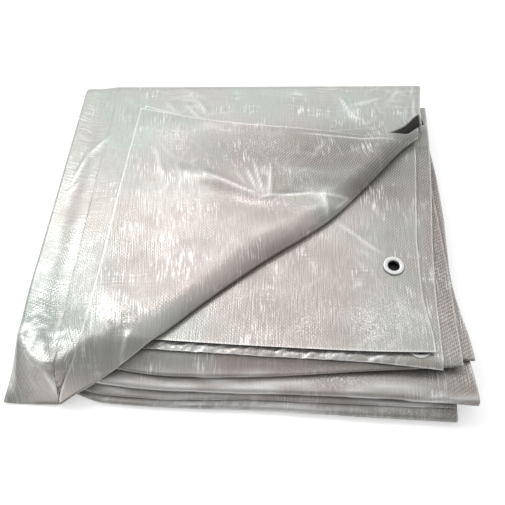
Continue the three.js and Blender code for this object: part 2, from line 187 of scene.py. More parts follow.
FOLDS: dict[FoldName, Fold] = {
    FoldName.LOWEST: Fold(
        nose=(18, 15, 5, 3, 4, 2, 0.5),
        swell=(0.3, 0.3, 2.6, 4.2, 5, 7.5, 8),
        right=(440, 440, 441, 441, 440, 438),
    ),
    FoldName.THIN: Fold(
        nose=(24, 20, 11, 9, 12, 11, 11),
        swell=(0.2, 0.2, 0.2, 0.4, 0.3, 0.2, 0.2),
        right=(437, 438, 440, 440, 439, 436),
    ),
    FoldName.BROAD: Fold(
        nose=(34, 29, 19, 15, 16, 15, 12),
        swell=(2, 2.5, 4.5, 5.5, 5.5, 7, 8),
        right=(458, 453, 447, 449, 446, 440),
    ),
    FoldName.INNER: Fold(
        nose=(56, 56, 56, 54, 53, 53, 53),
        swell=(0.2, 0.2, 0.2, 0.2, 0.2, 0.2, 0.2),
        right=(454, 457, 449, 453, 449, 443),
    ),
    FoldName.DULL: Fold(
        nose=(44, 40, 33, 26, 29, 37, 44),
        swell=(1, 1.5, 3, 3.6, 3.2, 1.2, 0.6),
        right=(440, 443, 445, 442, 440, 438),
    ),
}


@dataclass
class PackageForm:
    """Where the middle of each ply of the package lies."""

    # The whole package, and the steps from ply to ply
    width: float = 457.3
    depth: float = 427.3
    solid_ply: float = 1.8
    front_pitch: float = 2.5
    middle_pitch: float = 3.4
    loose_pitch: float = 4.2
    panel_pitch: float = 4.6
    cover_pitch: float = 3.0
    hem_width: float = 42.0
    # How a fold swells behind its nose, and where the plies of the stack step up
    swell_start: float = 0.5
    swell_peak: float = 20.0
    swell_end: float = 125.0
    step_front: float = 30.0
    step_back: float = 50.0
    pitch_front: float = 40.0
    pitch_back: float = 130.0
    panel_level_front: float = 50.0
    # The slope of the cover at the front, from its foot to where it is full height
    slope_top: Curve = Curve((8, 16, 24, 36, 48, 57, 66, 90), (60, 55, 46, 34, 30, 30, 38, 54))
    slope_power: float = 1.45
    slope_foot: float = 1.2
    slope_level: float = 62.0
    slope_start_left: float = 1.0
    slope_start: float = 4.0
    slope_corner: float = 20.0
    # The lines of the package from above
    back_start: float = 405.0
    back_lean: float = 0.05
    turned_apex: float = 57.0
    under_front: Curve = Curve(Fold.ACROSS, (53, 52, 50, 47, 45, 43, 37))
    under_right: Curve = Curve(
        (37, 60, 123, 187, 247, 333, 390), (422, 423.5, 427, 432, 438.5, 446, 448.5)
    )
    panel_front: Curve = Curve(Fold.ACROSS, (62, 62, 59, 55, 53, 52, 54))
    panel_right: Curve = Curve(
        (54, 64, 113, 170, 238, 324, 390), (415.5, 416, 412, 413, 419, 427, 430)
    )
    lower_crease: Curve = Curve(
        (57, 115, 154, 192, 245, 320, 371, 411, 428), (4, 33, 61, 97, 145, 205, 264, 314, 330)
    )
    upper_crease: Curve = Curve(
        (57, 115, 154, 192, 245, 320, 371, 411, 436), (11, 39, 67, 103, 152, 215, 277, 327, 347)
    )
    lower_turned_edge: Curve = Curve((91, 215, 287, 382, 411, 428), (357, 335, 330, 322, 324, 336))
    upper_turned_edge: Curve = Curve(
        (92, 150, 215, 287, 330, 385, 410, 436), (366, 348, 333, 328, 333, 342, 347, 364)
    )
    # How the turned back plies lie: sideways, raised in a roll behind the crease, and close
    # together at it
    turned_shift: Curve = Curve((0, 0.03, 0.09, 0.165, 0.66, 1), (0, 0.12, 0.46, 0.69, 0.86, 1))
    roll_rise: Curve = Curve((57, 150, 300, 400, 430), (0.2, 0.8, 2.5, 5, 4))
    roll_lean: float = 0.7
    roll_reach: float = 48.0
    crease_lean: float = 0.72
    crease_closeness: Curve = Curve((57, 250, 340, 400, 428), (0.36, 0.38, 0.45, 0.8, 1.1))
    close_reach: Curve = Curve((57, 100, 170), (80, 46, 24))
    # Where the hems' inner edges are taken, and where the turned corner starts to hide the cloth
    hem_level: float = 60.0
    corner_shadow: Pair = (95.0, 110.0)

    @property
    def stack_plies(self) -> int:
        """The number of plies that the folds make."""
        return 2 * len(FOLDS)

    def swell_shape(self, behind: Array) -> Array:
        """Find the share of a fold's swelling at distances behind its nose.

        Args:
            behind: The distances.

        Returns:
            The share at each distance.
        """
        risen = smooth_step(-self.swell_peak / 2, self.swell_peak, behind)
        rising = mix(self.swell_start, 1.0, risen)
        falling = 1 - smooth_step(self.swell_peak, self.swell_end, behind)
        return np.where(behind < self.swell_peak, rising, falling)

    def stack_height(self, ply: int, x: Array, y: Array) -> Array:
        """Find the height of the middle of a ply of the stack.

        Args:
            ply: The ply, where 0 lies on the floor.
            x: Places from the left side.
            y: Places from the front edge.

        Returns:
            The height at each place.
        """
        closeness = smooth_step(self.pitch_front, self.pitch_back, y)
        pitch = mix(self.front_pitch, self.middle_pitch, closeness)
        height = np.full(np.broadcast(x, y).shape, self.solid_ply / 2)
        inner = FoldName.INNER.value
        for below in range(ply):
            fold = FOLDS[FoldName(below // 2)]
            present: Array | float = 1.0
            if below in (2 * inner, 2 * inner - 1):
                present = smooth_step(self.step_front, self.step_back, y)
            opens: Array | float = 0.0
            if below % 2 == 0:
                opens = fold.swell_at(x) * self.swell_shape(y - fold.nose_at(x))
            height = height + present * (pitch + opens)
        return height

    def under_height(self, x: Array, y: Array) -> Array:
        """Return the height of the loose ply that ends the stack."""
        return self.stack_height(self.stack_plies - 1, x, y) + self.loose_pitch

    def panel_height(self, x: Array, y: Array) -> Array:
        """Return the height of the panel."""
        return self.under_height(x, np.maximum(y, self.panel_level_front)) + self.panel_pitch

    def cover_height(self, x: Array, y: Array) -> Array:
        """Find the height of the lowest ply over the panel, which slopes to the floor in front.

        Args:
            x: Places from the left side.
            y: Places from the front edge.

        Returns:
            The height at each place.
        """
        full = self.slope_top(x)
        top = self.panel_height(x, np.maximum(y, self.slope_level)) + self.cover_pitch
        inward = smooth_step(self.slope_corner, self.turned_apex, x)
        start = mix(self.slope_start_left, self.slope_start, inward)
        climbed = np.clip((y - start) / (full - start), 0, 1)
        return mix(self.slope_foot, top, 1 - (1 - climbed) ** self.slope_power)

    def cover_point(self, x: Array, y: Array, off: Array | float) -> Array:
        """Find points that lie off the lowest cover ply, square to it.

        Args:
            x: Places from the left side.
            y: Places from the front edge.
            off: The distance off the ply.

        Returns:
            The points.
        """
        reach = 3.0
        slope_x = self.cover_height(x + reach, y) - self.cover_height(x - reach, y)
        slope_y = self.cover_height(x, y + reach) - self.cover_height(x, y - reach)
        normal = stack_xyz(-slope_x / (2 * reach), -slope_y / (2 * reach), np.ones(1))
        normal /= np.linalg.norm(normal, axis=-1, keepdims=True)
        return stack_xyz(x, y, self.cover_height(x, y)) + normal * np.asarray(off)[..., None]

    def behind_crease(self, x: Array, y: Array) -> Array:
        """Return how far places lie behind the diagonal crease, square to it."""
        return (y - self.lower_crease(x)) * self.crease_lean

    def closeness(self, x: Array, y: Array) -> Array:
        """Return how close together the upper plies lie, which is closer at the crease."""
        shut = 1 - np.clip(self.behind_crease(x, y) / self.close_reach(x), 0, 1)
        return mix(1.0, self.crease_closeness(x), shut**2)

    def roll(self, x: Array, y: Array) -> Array:
        """Return how far the turned back plies rise behind the crease."""
        share = np.clip(self.behind_crease(x, y) / self.roll_reach, 0, 1)
        return self.roll_rise(x) * np.sin(math.pi * share**self.roll_lean)

    def back_line(self, x: Array | float) -> Array:
        """Return the back line of the package, which leans back towards the right."""
        return self.back_start + self.back_lean * np.asarray(x, dtype=float)

    def hem_start(self, right: Curve) -> float:
        """Return where the hem of a loose ply starts at its front, given its right edge."""
        return right(self.hem_level) - self.hem_width

    def shade_under_corner(self, x: Array, y: Array, edge: Array) -> Array:
        """Return 1 where the turned corner hides what lies under it, given its far edge."""
        # The mask of painted shade under the turned corner.
        return smooth_step(1, 7, edge - y) * smooth_step(*self.corner_shadow, x)


FORM = PackageForm()
FORM_SHIFT = np.array([FORM.width / 2, FORM.depth / 2, 0.0])


# Loose plies and their eyelets


class Loose(Enum):
    """The two loose plies that end in a hem at the right."""

    UPPER = "upper"
    LOWER = "lower"


@dataclass(frozen=True)
class EyeletPlace:
    """Where an eyelet sits on its hem, and how far the cloth is flat round it.

    flat is the reach over which its seat is measured. The cloth has no creases nearer than held
    and all of them from free on.
    """

    x: float
    y: float
    flat: float
    held: float = 12.0
    free: float = 30.0

    def flatness(self, x: Array, y: Array) -> Array:
        """Return 0 where the eyelet holds the cloth flat, and 1 away from it."""
        return smooth_step(self.held, self.free, np.hypot(x - self.x, y - self.y))


EYELET_PLACES: dict[Loose, EyeletPlace] = {
    Loose.UPPER: EyeletPlace(385.7, 150.2, 19),
    Loose.LOWER: EyeletPlace(402, 59, 12),
}

# How far in front of the package's back line each loose ply ends
BACK_INSETS: dict[Loose, float] = {Loose.UPPER: 20.0, Loose.LOWER: 17.0}

# The rows of the loose plies, which their hems share: start, end and number of steps
PANEL_RUN = ((0.0, 0.9, 120),)
UNDER_RUN = ((0.0, 0.09, 18), (0.09, 0.3, 10), (0.3, 0.95, 12))


# Creases, crumple and settling


class Place(Enum):
    """The parts of the cloth that carry their own creases."""

    FLAP = "flap"
    PANEL = "panel"
    COVER = "cover"
    UNDER = "under"
    STACK = "stack"


@dataclass(frozen=True)
class Crease:
    """A ridge, or a trough if rise is negative, from one place to another.

    The sizes are how far it rises and how wide it is. sharp gives it a crest instead of a
    round back, with a painted highlight, partly wear, along it. It is worked out within SPAN
    widths, and fades over TAPER at both ends. A sharp one falls off by STEEPNESS from a top
    rounded by ROUNDING, and its painted highlight is CREST_SHARE times as narrow.
    """

    start: Pair
    end: Pair
    rise: float
    width: float
    sharp: bool = True

    SPAN = 4
    TAPER = (-0.15, 0.3)
    ROUNDING = 0.02
    STEEPNESS = 1.4
    CREST_SHARE = 2.2

    def add_to(self, lift: Array, crest: Array, x: Array, y: Array) -> None:
        """Add the crease to a sheet.

        Args:
            lift: How far the cloth is lifted at each place, which grows by the crease.
            crest: The painted highlight on its crests at each place, which also grows.
            x: Places from the left side.
            y: Places from the front edge.
        """
        span = self.width * self.SPAN
        low = np.minimum(self.start, self.end) - span
        high = np.maximum(self.start, self.end) + span
        near = (x > low[0]) & (x < high[0]) & (y > low[1]) & (y < high[1])
        along = np.subtract(self.end, self.start)
        length = float(np.hypot(*along))
        along = along / length
        dx, dy = x[near] - self.start[0], y[near] - self.start[1]
        run = (dx * along[0] + dy * along[1]) / length
        side = (dx * along[1] - dy * along[0]) / self.width
        faded_in = smooth_step(*self.TAPER, run)
        fade = faded_in * smooth_step(1 - self.TAPER[0], 1 - self.TAPER[1], run)
        if self.sharp:
            slope = np.sqrt(side**2 + self.ROUNDING) * self.STEEPNESS
            lift[near] += self.rise * fade * np.exp(-slope)
            bright = np.exp(-((side * self.CREST_SHARE) ** 2))
            crest[near] += min(abs(self.rise), 1.0) * fade * bright
        else:
            lift[near] += self.rise * fade * np.exp(-(side**2))


@dataclass(frozen=True)
class Crumple:
    """Many small creases within a round area, laid by a seeded draw.

    Their length, rise and width are the most that one has. They lie round the angle lean,
    within spread of it in all.
    """

    middle: Pair
    reach: Pair
    count: int
    length: float
    rise: float
    width: float
    seed: int
    lean: float = 0.0
    spread: float = math.pi

    def add_to(self, lift: Array, crest: Array, x: Array, y: Array) -> None:
        """Add the small creases to a sheet.

        Args:
            lift: How far the cloth is lifted at each place, which grows by the creases.
            crest: The painted highlight on their crests at each place, which also grows.
            x: Places from the left side.
            y: Places from the front edge.
        """
        draw = np.random.default_rng(self.seed)
        for _ in range(self.count):
            angle = self.lean + draw.uniform(-0.5, 0.5) * self.spread
            turn, out = draw.uniform(0, 2 * math.pi), math.sqrt(draw.uniform())
            half = self.length * draw.uniform(0.25, 0.75)
            cx = self.middle[0] + self.reach[0] * out * math.cos(turn)
            cy = self.middle[1] + self.reach[1] * out * math.sin(turn)
            dx, dy = half * math.cos(angle), half * math.sin(angle)
            rise = self.rise * draw.uniform(0.3, 1.0) * draw.choice((-0.7, 1.0))
            width = self.width * draw.uniform(0.6, 1.6)
            Crease((cx - dx, cy - dy), (cx + dx, cy + dy), rise, width).add_to(lift, crest, x, y)


# The creases that show, each at its own place
CREASES: dict[Place, tuple[Crease | Crumple, ...]] = {
    Place.FLAP: (
        Crease((170, 338), (330, 329), 2.4, 8, sharp=False),
        Crease((300, 329), (412, 324), 1.6, 6, sharp=False),
        Crease((150, 262), (250, 225), 2.6, 10, sharp=False),
        Crease((170, 259), (243, 227), 0.8, 3.5),
        Crease((244, 226), (262, 231), 0.9, 3),
        Crease((256, 231), (300, 234), -1.0, 3.5),
        Crease((256, 229), (352, 228), -2.2, 11, sharp=False),
        Crease((262, 262), (395, 276), 2.4, 15, sharp=False),
        Crease((253, 272), (254, 226), 1.7, 4),
        Crease((233, 280), (247, 230), 1.0, 3),
        Crease((225, 268), (239, 236), 0.9, 3),
        Crease((213, 262), (228, 240), 0.6, 3),
        Crease((313, 238), (318, 200), 1.2, 4),
        Crease((341, 230), (326, 214), 0.9, 4),
        Crease((300, 233), (345, 229), 1.0, 3),
        Crease((186, 236), (300, 205), -1.8, 16, sharp=False),
        Crease((150, 190), (300, 175), 1.8, 30, sharp=False),
        Crease((125, 58), (119, 38), 2.4, 3.5),
        Crease((119, 38), (122, 22), 2.2, 3.5),
        Crease((112, 60), (109, 30), -2.4, 6, sharp=False),
        Crease((118, 294), (133, 241), 0.6, 4),
        Crease((144, 272), (156, 235), 0.5, 4),
        Crease((100, 100), (150, 160), -1.2, 16, sharp=False),
        Crease((120, 100), (90, 40), 1.0, 12, sharp=False),
        Crease((285, 323), (400, 314), 0.9, 2.2),
        Crumple((140, 270), (45, 45), 26, 22, 0.35, 3, 11),
        Crumple((230, 180), (110, 60), 30, 40, 0.22, 5, 21),
        Crumple((115, 85), (24, 30), 30, 14, 0.4, 2.5, 22),
        Crumple((310, 275), (80, 30), 22, 30, 0.25, 5, 23),
    ),
    Place.PANEL: (
        Crease((329, 203), (380, 161), 0.8, 4),
        Crease((370, 232), (375, 214), 0.7, 3),
        Crease((345, 190), (400, 170), -1.2, 14, sharp=False),
        Crease((300, 130), (340, 60), 0.9, 20, sharp=False),
        Crumple((370, 110), (42, 60), 40, 22, 0.35, 3.5, 12),
        Crumple((250, 110), (90, 50), 18, 40, 0.18, 5, 24),
    ),
    Place.COVER: (
        Crease((338, 394), (351, 362), 1.3, 3.5),
        Crease((351, 362), (364, 355), 1.1, 3.5),
        Crease((360, 380), (390, 395), 0.5, 5),
        Crease((157, 381), (172, 357), 0.8, 3.5),
        Crease((144, 372), (166, 346), 0.7, 3.5),
        Crease((118, 376), (137, 355), 0.4, 3.5),
        Crease((60, 312), (37, 282), 0.8, 3.2),
        Crease((37, 282), (27, 241), 0.9, 3.2),
        Crease((37, 244), (24, 226), 0.7, 3),
        Crease((42, 60), (50, 330), 1.4, 16, sharp=False),
        Crease((20, 66), (17, 54), 1.5, 4),
        Crease((17, 55), (24, 44), 1.6, 4),
        Crease((23, 45), (35, 30), 1.6, 4),
        Crease((34, 31), (47, 27), 1.5, 4),
        Crease((45, 28), (60, 4), 1.6, 4),
        Crease((36, 60), (46, 30), -1.4, 7, sharp=False),
        Crease((428, 355), (431, 420), -0.8, 2.6),
        Crumple((38, 60), (22, 22), 26, 16, 0.7, 3.5, 13),
        Crumple((45, 190), (26, 120), 50, 26, 0.16, 2.5, 14, 0.1, 0.5),
        Crumple((385, 385), (50, 30), 26, 24, 0.35, 4, 25),
        Crumple((150, 370), (60, 30), 20, 24, 0.3, 4, 26),
    ),
    Place.UNDER: (
        Crumple((250, 49), (190, 8), 240, 13, 0.9, 1.8, 15, 0.7, 1.2),
    ),
    Place.STACK: (
        Crumple((250, 8), (200, 10), 110, 15, 0.7, 2.4, 16, 1.2, 1.6),
        Crumple((250, 24), (200, 14), 40, 40, 0.35, 4, 17, 0.1, 0.8),
        Crumple((250, 24), (215, 22), 46, 55, 1.1, 5, 31, 0.05, 0.5),
    ),
}


def crease_lift(place: Place, x: Array, y: Array) -> tuple[Array, Array]:
    """Add up the creases of a part of the cloth.

    Args:
        place: The part of the cloth.
        x: Places from the left side.
        y: Places from the front edge.

    Returns:
        How far the cloth is lifted off its ply, and its painted crest highlight, at each place.
    """
    lift = np.zeros(x.shape)
    crest = np.zeros(x.shape)
    for crease in CREASES[place]:
        crease.add_to(lift, crest, x, y)
    held = {Place.PANEL: Loose.UPPER, Place.UNDER: Loose.LOWER}
    if place in held:
        flatness = EYELET_PLACES[held[place]].flatness(x, y)
        lift, crest = lift * flatness, crest * flatness
    return lift, np.clip(crest, 0, 1)


@dataclass(frozen=True)
class Swell:
    """A slow rise of the cloth, or a fall if rise is negative, turned about its middle."""

    middle: Pair
    reach: Pair
    turn: float
    rise: float

    def at(self, x: Array, y: Array) -> Array:
        """Find how far the swell lifts the cloth.

        Args:
            x: Places from the left side.
            y: Places from the front edge.

        Returns:
            The lift at each place.
        """
        dx, dy = x - self.middle[0], y - self.middle[1]
        u = dx * math.cos(self.turn) + dy * math.sin(self.turn)
        v = dy * math.cos(self.turn) - dx * math.sin(self.turn)
        return self.rise * np.exp(-((u / self.reach[0]) ** 2) - (v / self.reach[1]) ** 2)


@dataclass(frozen=True)
class Settling:
    """The swells that all plies share, so that no ply cuts through another.

    They grow from nothing at the floor to their whole rise at full_height, and on above it to
    the share most.
    """

    full_height: float = 40.0
    most: float = 1.2
    swells: tuple[Swell, ...] = (
        Swell((70, 230), (26, 90), 0.0, 1.2),
        Swell((180, 250), (60, 26), 0.3, 1.4),
        Swell((310, 270), (50, 18), -0.2, -1.6),
        Swell((360, 130), (40, 26), -0.6, -1.5),
        Swell((250, 110), (60, 22), 0.2, 1.2),
        Swell((330, 60), (50, 16), 0.0, -1.0),
        Swell((120, 330), (40, 22), 0.0, 1.0),
        Swell((300, 390), (60, 14), 0.0, -0.9),
    )

    def apply(self, points: Array) -> Array:
        """Move points up or down with the swells.

        Args:
            points: The points, in millimetres.

        Returns:
            The moved points.
        """
        x, y, z = points[..., 0], points[..., 1], points[..., 2]
        rise = sum(swell.at(x, y) for swell in self.swells)
        moved = points.copy()
        moved[..., 2] = z + rise * np.clip(z / self.full_height, 0, self.most)
        return moved


SETTLING = Settling()


# Sheets


def grid_normals(grid: Array) -> Array:
    """Find the way up of a sheet.

    Args:
        grid: The points of the sheet, [station, point].

    Returns:
        The way up at each point, of length 1.
    """
    across = np.gradient(grid, axis=0)
    along = np.gradient(grid, axis=1)
    normal = np.cross(across, along)
    size = np.linalg.norm(normal, axis=-1, keepdims=True)
    return normal / np.maximum(size, 1e-9)


def arc_lengths(grid: Array, axis: int, parts: tuple[int, ...] = (0, 1, 2)) -> Array:
    """Find how far each point of a grid lies along its row or column.

    Args:
        grid: The points, [station, point].
        axis: 0 to measure from station to station, 1 from point to point.
        parts: The coordinates that count.

    Returns:
        The distance of each point from the first one.
    """
    steps = np.linalg.norm(np.diff(grid[..., parts], axis=axis), axis=-1)
    lengths = np.cumsum(steps, axis=axis)
    pad = [(1, 0), (0, 0)] if axis == 0 else [(0, 0), (1, 0)]
    return np.pad(lengths, pad)


def mean_size(across: Array, along: Array) -> tuple[float, float]:
    """Return the flat size of a sheet, from the distances across and along its grid."""
    return float(np.mean(across[-1])), float(np.mean(along[:, -1]))


@dataclass
class SheetGrid:
    """A sheet as a grid of points on its middle.

    weave is the place on the flat cloth, in millimetres, and a second weave holds from
    seam_column on. crest is 1 where a painted highlight, partly worn film, brightens crests and
    edges. The painted shade is 1 where other plies hide the cloth, on the upper face and, where
    it differs, on the lower face.
    """

    points: Array
    weave: Array
    thickness: float
    crest: Array
    ply_shade: Array | None = None
    lower_ply_shade: Array | None = None
    weave_after: Array | None = None
    seam_column: int = 0

    def write(self, name: str) -> Object:
        """Write the sheet as a closed mesh object.

        Args:
            name: The name of the object.

        Returns:
            The object.
        """
        half = grid_normals(self.points) * self.thickness / 2
        layers = np.concatenate([self.points + half, self.points - half]).reshape(-1, 3)
        index = np.arange(half.shape[0] * half.shape[1]).reshape(half.shape[:2])
        faces, smooth = self._join(index)
        mesh = bpy.data.meshes.new(name)
        mesh.from_pydata(((layers - FORM_SHIFT) * MM).tolist(), [], faces.tolist())
        self._write_weave(mesh, faces)
        mesh.polygons.foreach_set("use_smooth", [face < smooth for face in range(len(faces))])
        mesh.update()
        self._sharpen_rim(mesh, index)
        made = bpy.data.objects.new(name, mesh)
        bpy.context.scene.collection.objects.link(made)
        # Painted highlight, partly worn film, and painted shade where other plies hide the cloth.
        set_attribute(made, "crest", np.tile(self.crest.ravel(), 2))
        ply_shade = np.zeros(index.shape) if self.ply_shade is None else self.ply_shade
        lower = ply_shade if self.lower_ply_shade is None else self.lower_ply_shade
        set_attribute(made, "ply_shade", np.concatenate([ply_shade.ravel(), lower.ravel()]))
        return made

    def _join(self, index: Array) -> tuple[Array, int]:
        """Join the points of both faces of the sheet, and close it round its rim.

        Args:
            index: The number of each point of the grid.

        Returns:
            The faces, upper ones first, then lower ones, then the rim, and how many are not rim.
        """
        a, b = index[:-1, :-1], index[1:, :-1]
        c, d = index[1:, 1:], index[:-1, 1:]
        upper = np.stack([a, b, c, d], axis=-1).reshape(-1, 4)
        lower = np.stack([d, c, b, a], axis=-1).reshape(-1, 4) + index.size
        rims = [
            (index[:-1, 0], index[1:, 0], True),
            (index[:-1, -1], index[1:, -1], False),
            (index[0, :-1], index[0, 1:], False),
            (index[-1, :-1], index[-1, 1:], True),
        ]
        quads = [upper, lower]
        for first, second, flip in rims:
            rim = np.stack([first, first + index.size, second + index.size, second], axis=-1)
            quads.append(rim if flip else rim[:, ::-1])
        return np.concatenate(quads), len(upper) + len(lower)

    def _sharpen_rim(self, mesh: bpy.types.Mesh, index: Array) -> None:
        """Mark the edges of the rim sharp, so that the cloth is shaded flat right up to them.

        Args:
            mesh: The mesh to mark.
            index: The number of each point of the grid.
        """
        on_rim = np.zeros(index.shape, dtype=bool)
        on_rim[[0, -1], :] = True
        on_rim[:, [0, -1]] = True
        rim = np.tile(on_rim.ravel(), 2)
        ends = np.empty(2 * len(mesh.edges), dtype=np.int32)
        mesh.edges.foreach_get("vertices", ends)
        mesh.edges.foreach_set("use_edge_sharp", rim[ends.reshape(-1, 2)].all(axis=1))

    def _write_weave(self, mesh: bpy.types.Mesh, faces: Array) -> None:
        """Write the cloth coordinates to the mesh's UV map.

        Args:
            mesh: The mesh to write to.
            faces: The numbers of the corners of its faces.
        """
        stations, run = self.points.shape[:2]
        corners = faces % (stations * run)
        spots = self.weave.reshape(-1, 2)[corners]
        if self.weave_after is not None:
            after = self.weave_after.reshape(-1, 2)[corners]
            column = np.min(faces % run, axis=1)
            spots = np.where((column >= self.seam_column)[:, None, None], after, spots)
        layer = mesh.uv_layers.new(name="weave")
        layer.data.foreach_set("uv", (spots * MM).ravel())


def fold_points(start: Array, end: Array, reach: Array | float, way: int, count: int) -> Array:
    """Round the end of two plies.

    Args:
        start: The last points of the first ply, one for each station.
        end: The first points of the second ply.
        reach: How far the fold bulges, for each station or for all.
        way: 1 for a bulge to the back, -1 for one to the front.
        count: The number of points round the fold.

    Returns:
        The points, [station, point].
    """
    angle = math.pi * np.arange(1, count + 1) / (count + 1)
    share = (1 - np.cos(angle)) / 2
    points = start[:, None, :] + (end - start)[:, None, :] * share[None, :, None]
    points[..., 1] += way * np.sin(angle)[None, :] * np.reshape(reach, (-1, 1))
    return points


def set_attribute(made: Object, name: str, values: Array) -> None:
    """Write one number for each vertex of a mesh object."""
    layer = made.data.attributes.new(name=name, type="FLOAT", domain="POINT")
    layer.data.foreach_set("value", np.asarray(values, dtype=np.float32).ravel())


# Finishes


class Nodes:
    """A short way to write a material's node tree."""

    def __init__(self, name: str) -> None:
        """Start an empty material.

        Args:
            name: The name of the material.
        """
        self.material = bpy.data.materials.new(name)
        self.material.use_nodes = True
        self.tree = self.material.node_tree
        self.tree.nodes.clear()
        self.output = self.tree.nodes.new("ShaderNodeOutputMaterial")

    def add(self, kind: str, **values: object) -> bpy.types.Node:
        """Add a node.

        Args:
            kind: The kind of node.
            values: The properties to set on it.

        Returns:
            The node.
        """
        node = self.tree.nodes.new(kind)
        for key, value in values.items():
            setattr(node, key, value)
        return node

    def feed(self, socket: Socket, value: object) -> None:
        """Link a socket to another one, or set its value.

        Args:
            socket: The input to feed.
            value: The output to link to it, or its value.
        """
        if isinstance(value, bpy.types.NodeSocket):
            self.tree.links.new(value, socket)
        else:
            socket.default_value = value

    def math(self, operation: str, *values: object, clamp: bool = False) -> Socket:
        """Add a Math node.

        Args:
            operation: What it works out.
            values: Its inputs, sockets or numbers.
            clamp: Whether its result is held between 0 and 1.

        Returns:
            Its result.
        """
        node = self.add("ShaderNodeMath", operation=operation, use_clamp=clamp)
        for socket, value in zip(node.inputs, values):
            self.feed(socket, value)
        return node.outputs[0]

    def noise(
        self, where: Socket, scale: float, detail: float = 2.0, roughness: float = 0.5
    ) -> Socket:
        """Add a noise pattern.

        Args:
            where: The coordinates that it reads.
            scale: How fine it is.
            detail: How many finer layers it has.
            roughness: How strong those layers are.

        Returns:
            The pattern, from 0 to 1.
        """
        node = self.add("ShaderNodeTexNoise")
        self.feed(node.inputs["Vector"], where)
        node.inputs["Scale"].default_value = scale
        node.inputs["Detail"].default_value = detail
        node.inputs["Roughness"].default_value = roughness
        return node.outputs["Fac"]

    def scaled(self, where: Socket, size: tuple[float, float, float]) -> Socket:
        """Stretch coordinates.

        Args:
            where: The coordinates.
            size: What they are multiplied by along each axis.

        Returns:
            The stretched coordinates.
        """
        node = self.add("ShaderNodeMapping")
        self.feed(node.inputs["Vector"], where)
        node.inputs["Scale"].default_value = size
        return node.outputs["Vector"]

    def span(
        self, value: Socket, low: float, high: float, to_low: float = 0.0, to_high: float = 1.0
    ) -> Socket:
        """Move a value smoothly from one span to another, held at its ends.

        Args:
            value: The value.
            low: The start of the span that it comes from.
            high: The end of that span.
            to_low: The start of the span that it goes to.
            to_high: The end of that span.

        Returns:
            The moved value.
        """
        node = self.add("ShaderNodeMapRange", interpolation_type="SMOOTHSTEP")
        for socket, number in zip(node.inputs, (value, low, high, to_low, to_high)):
            self.feed(socket, number)
        return node.outputs[0]

    def blend(self, share: object, first: object, second: object) -> Socket:
        """Mix two colours.

        Args:
            share: The share of the second colour.
            first: The first colour.
            second: The second colour.

        Returns:
            The mixed colour.
        """
        node = self.add("ShaderNodeMix", data_type="RGBA")
        for place, value in ((0, share), (6, first), (7, second)):
            self.feed(node.inputs[place], value)
        return node.outputs[2]

    def bump(self, height: Socket, distance: float, below: Socket | None = None) -> Socket:
        """Add a bump.

        Args:
            height: Its height, from 0 to 1.
            distance: How far it rises, in metres.
            below: The normal that it is laid over, if any.

        Returns:
            The normal with the bump.
        """
        node = self.add("ShaderNodeBump")
        node.inputs["Distance"].default_value = distance
        self.feed(node.inputs["Height"], height)
        if below is not None:
            self.feed(node.inputs["Normal"], below)
        return node.outputs[0]

    def finish(self, values: dict[str, object]) -> Material:
        """Add the surface to the material.

        Args:
            values: What is fed to each named socket of the surface.

        Returns:
            The finished material.
        """
        shader = self.add("ShaderNodeBsdfPrincipled")
        for name, value in values.items():
            self.feed(shader.inputs[name], value)
        self.feed(self.output.inputs["Surface"], shader.outputs[0])
        return self.material


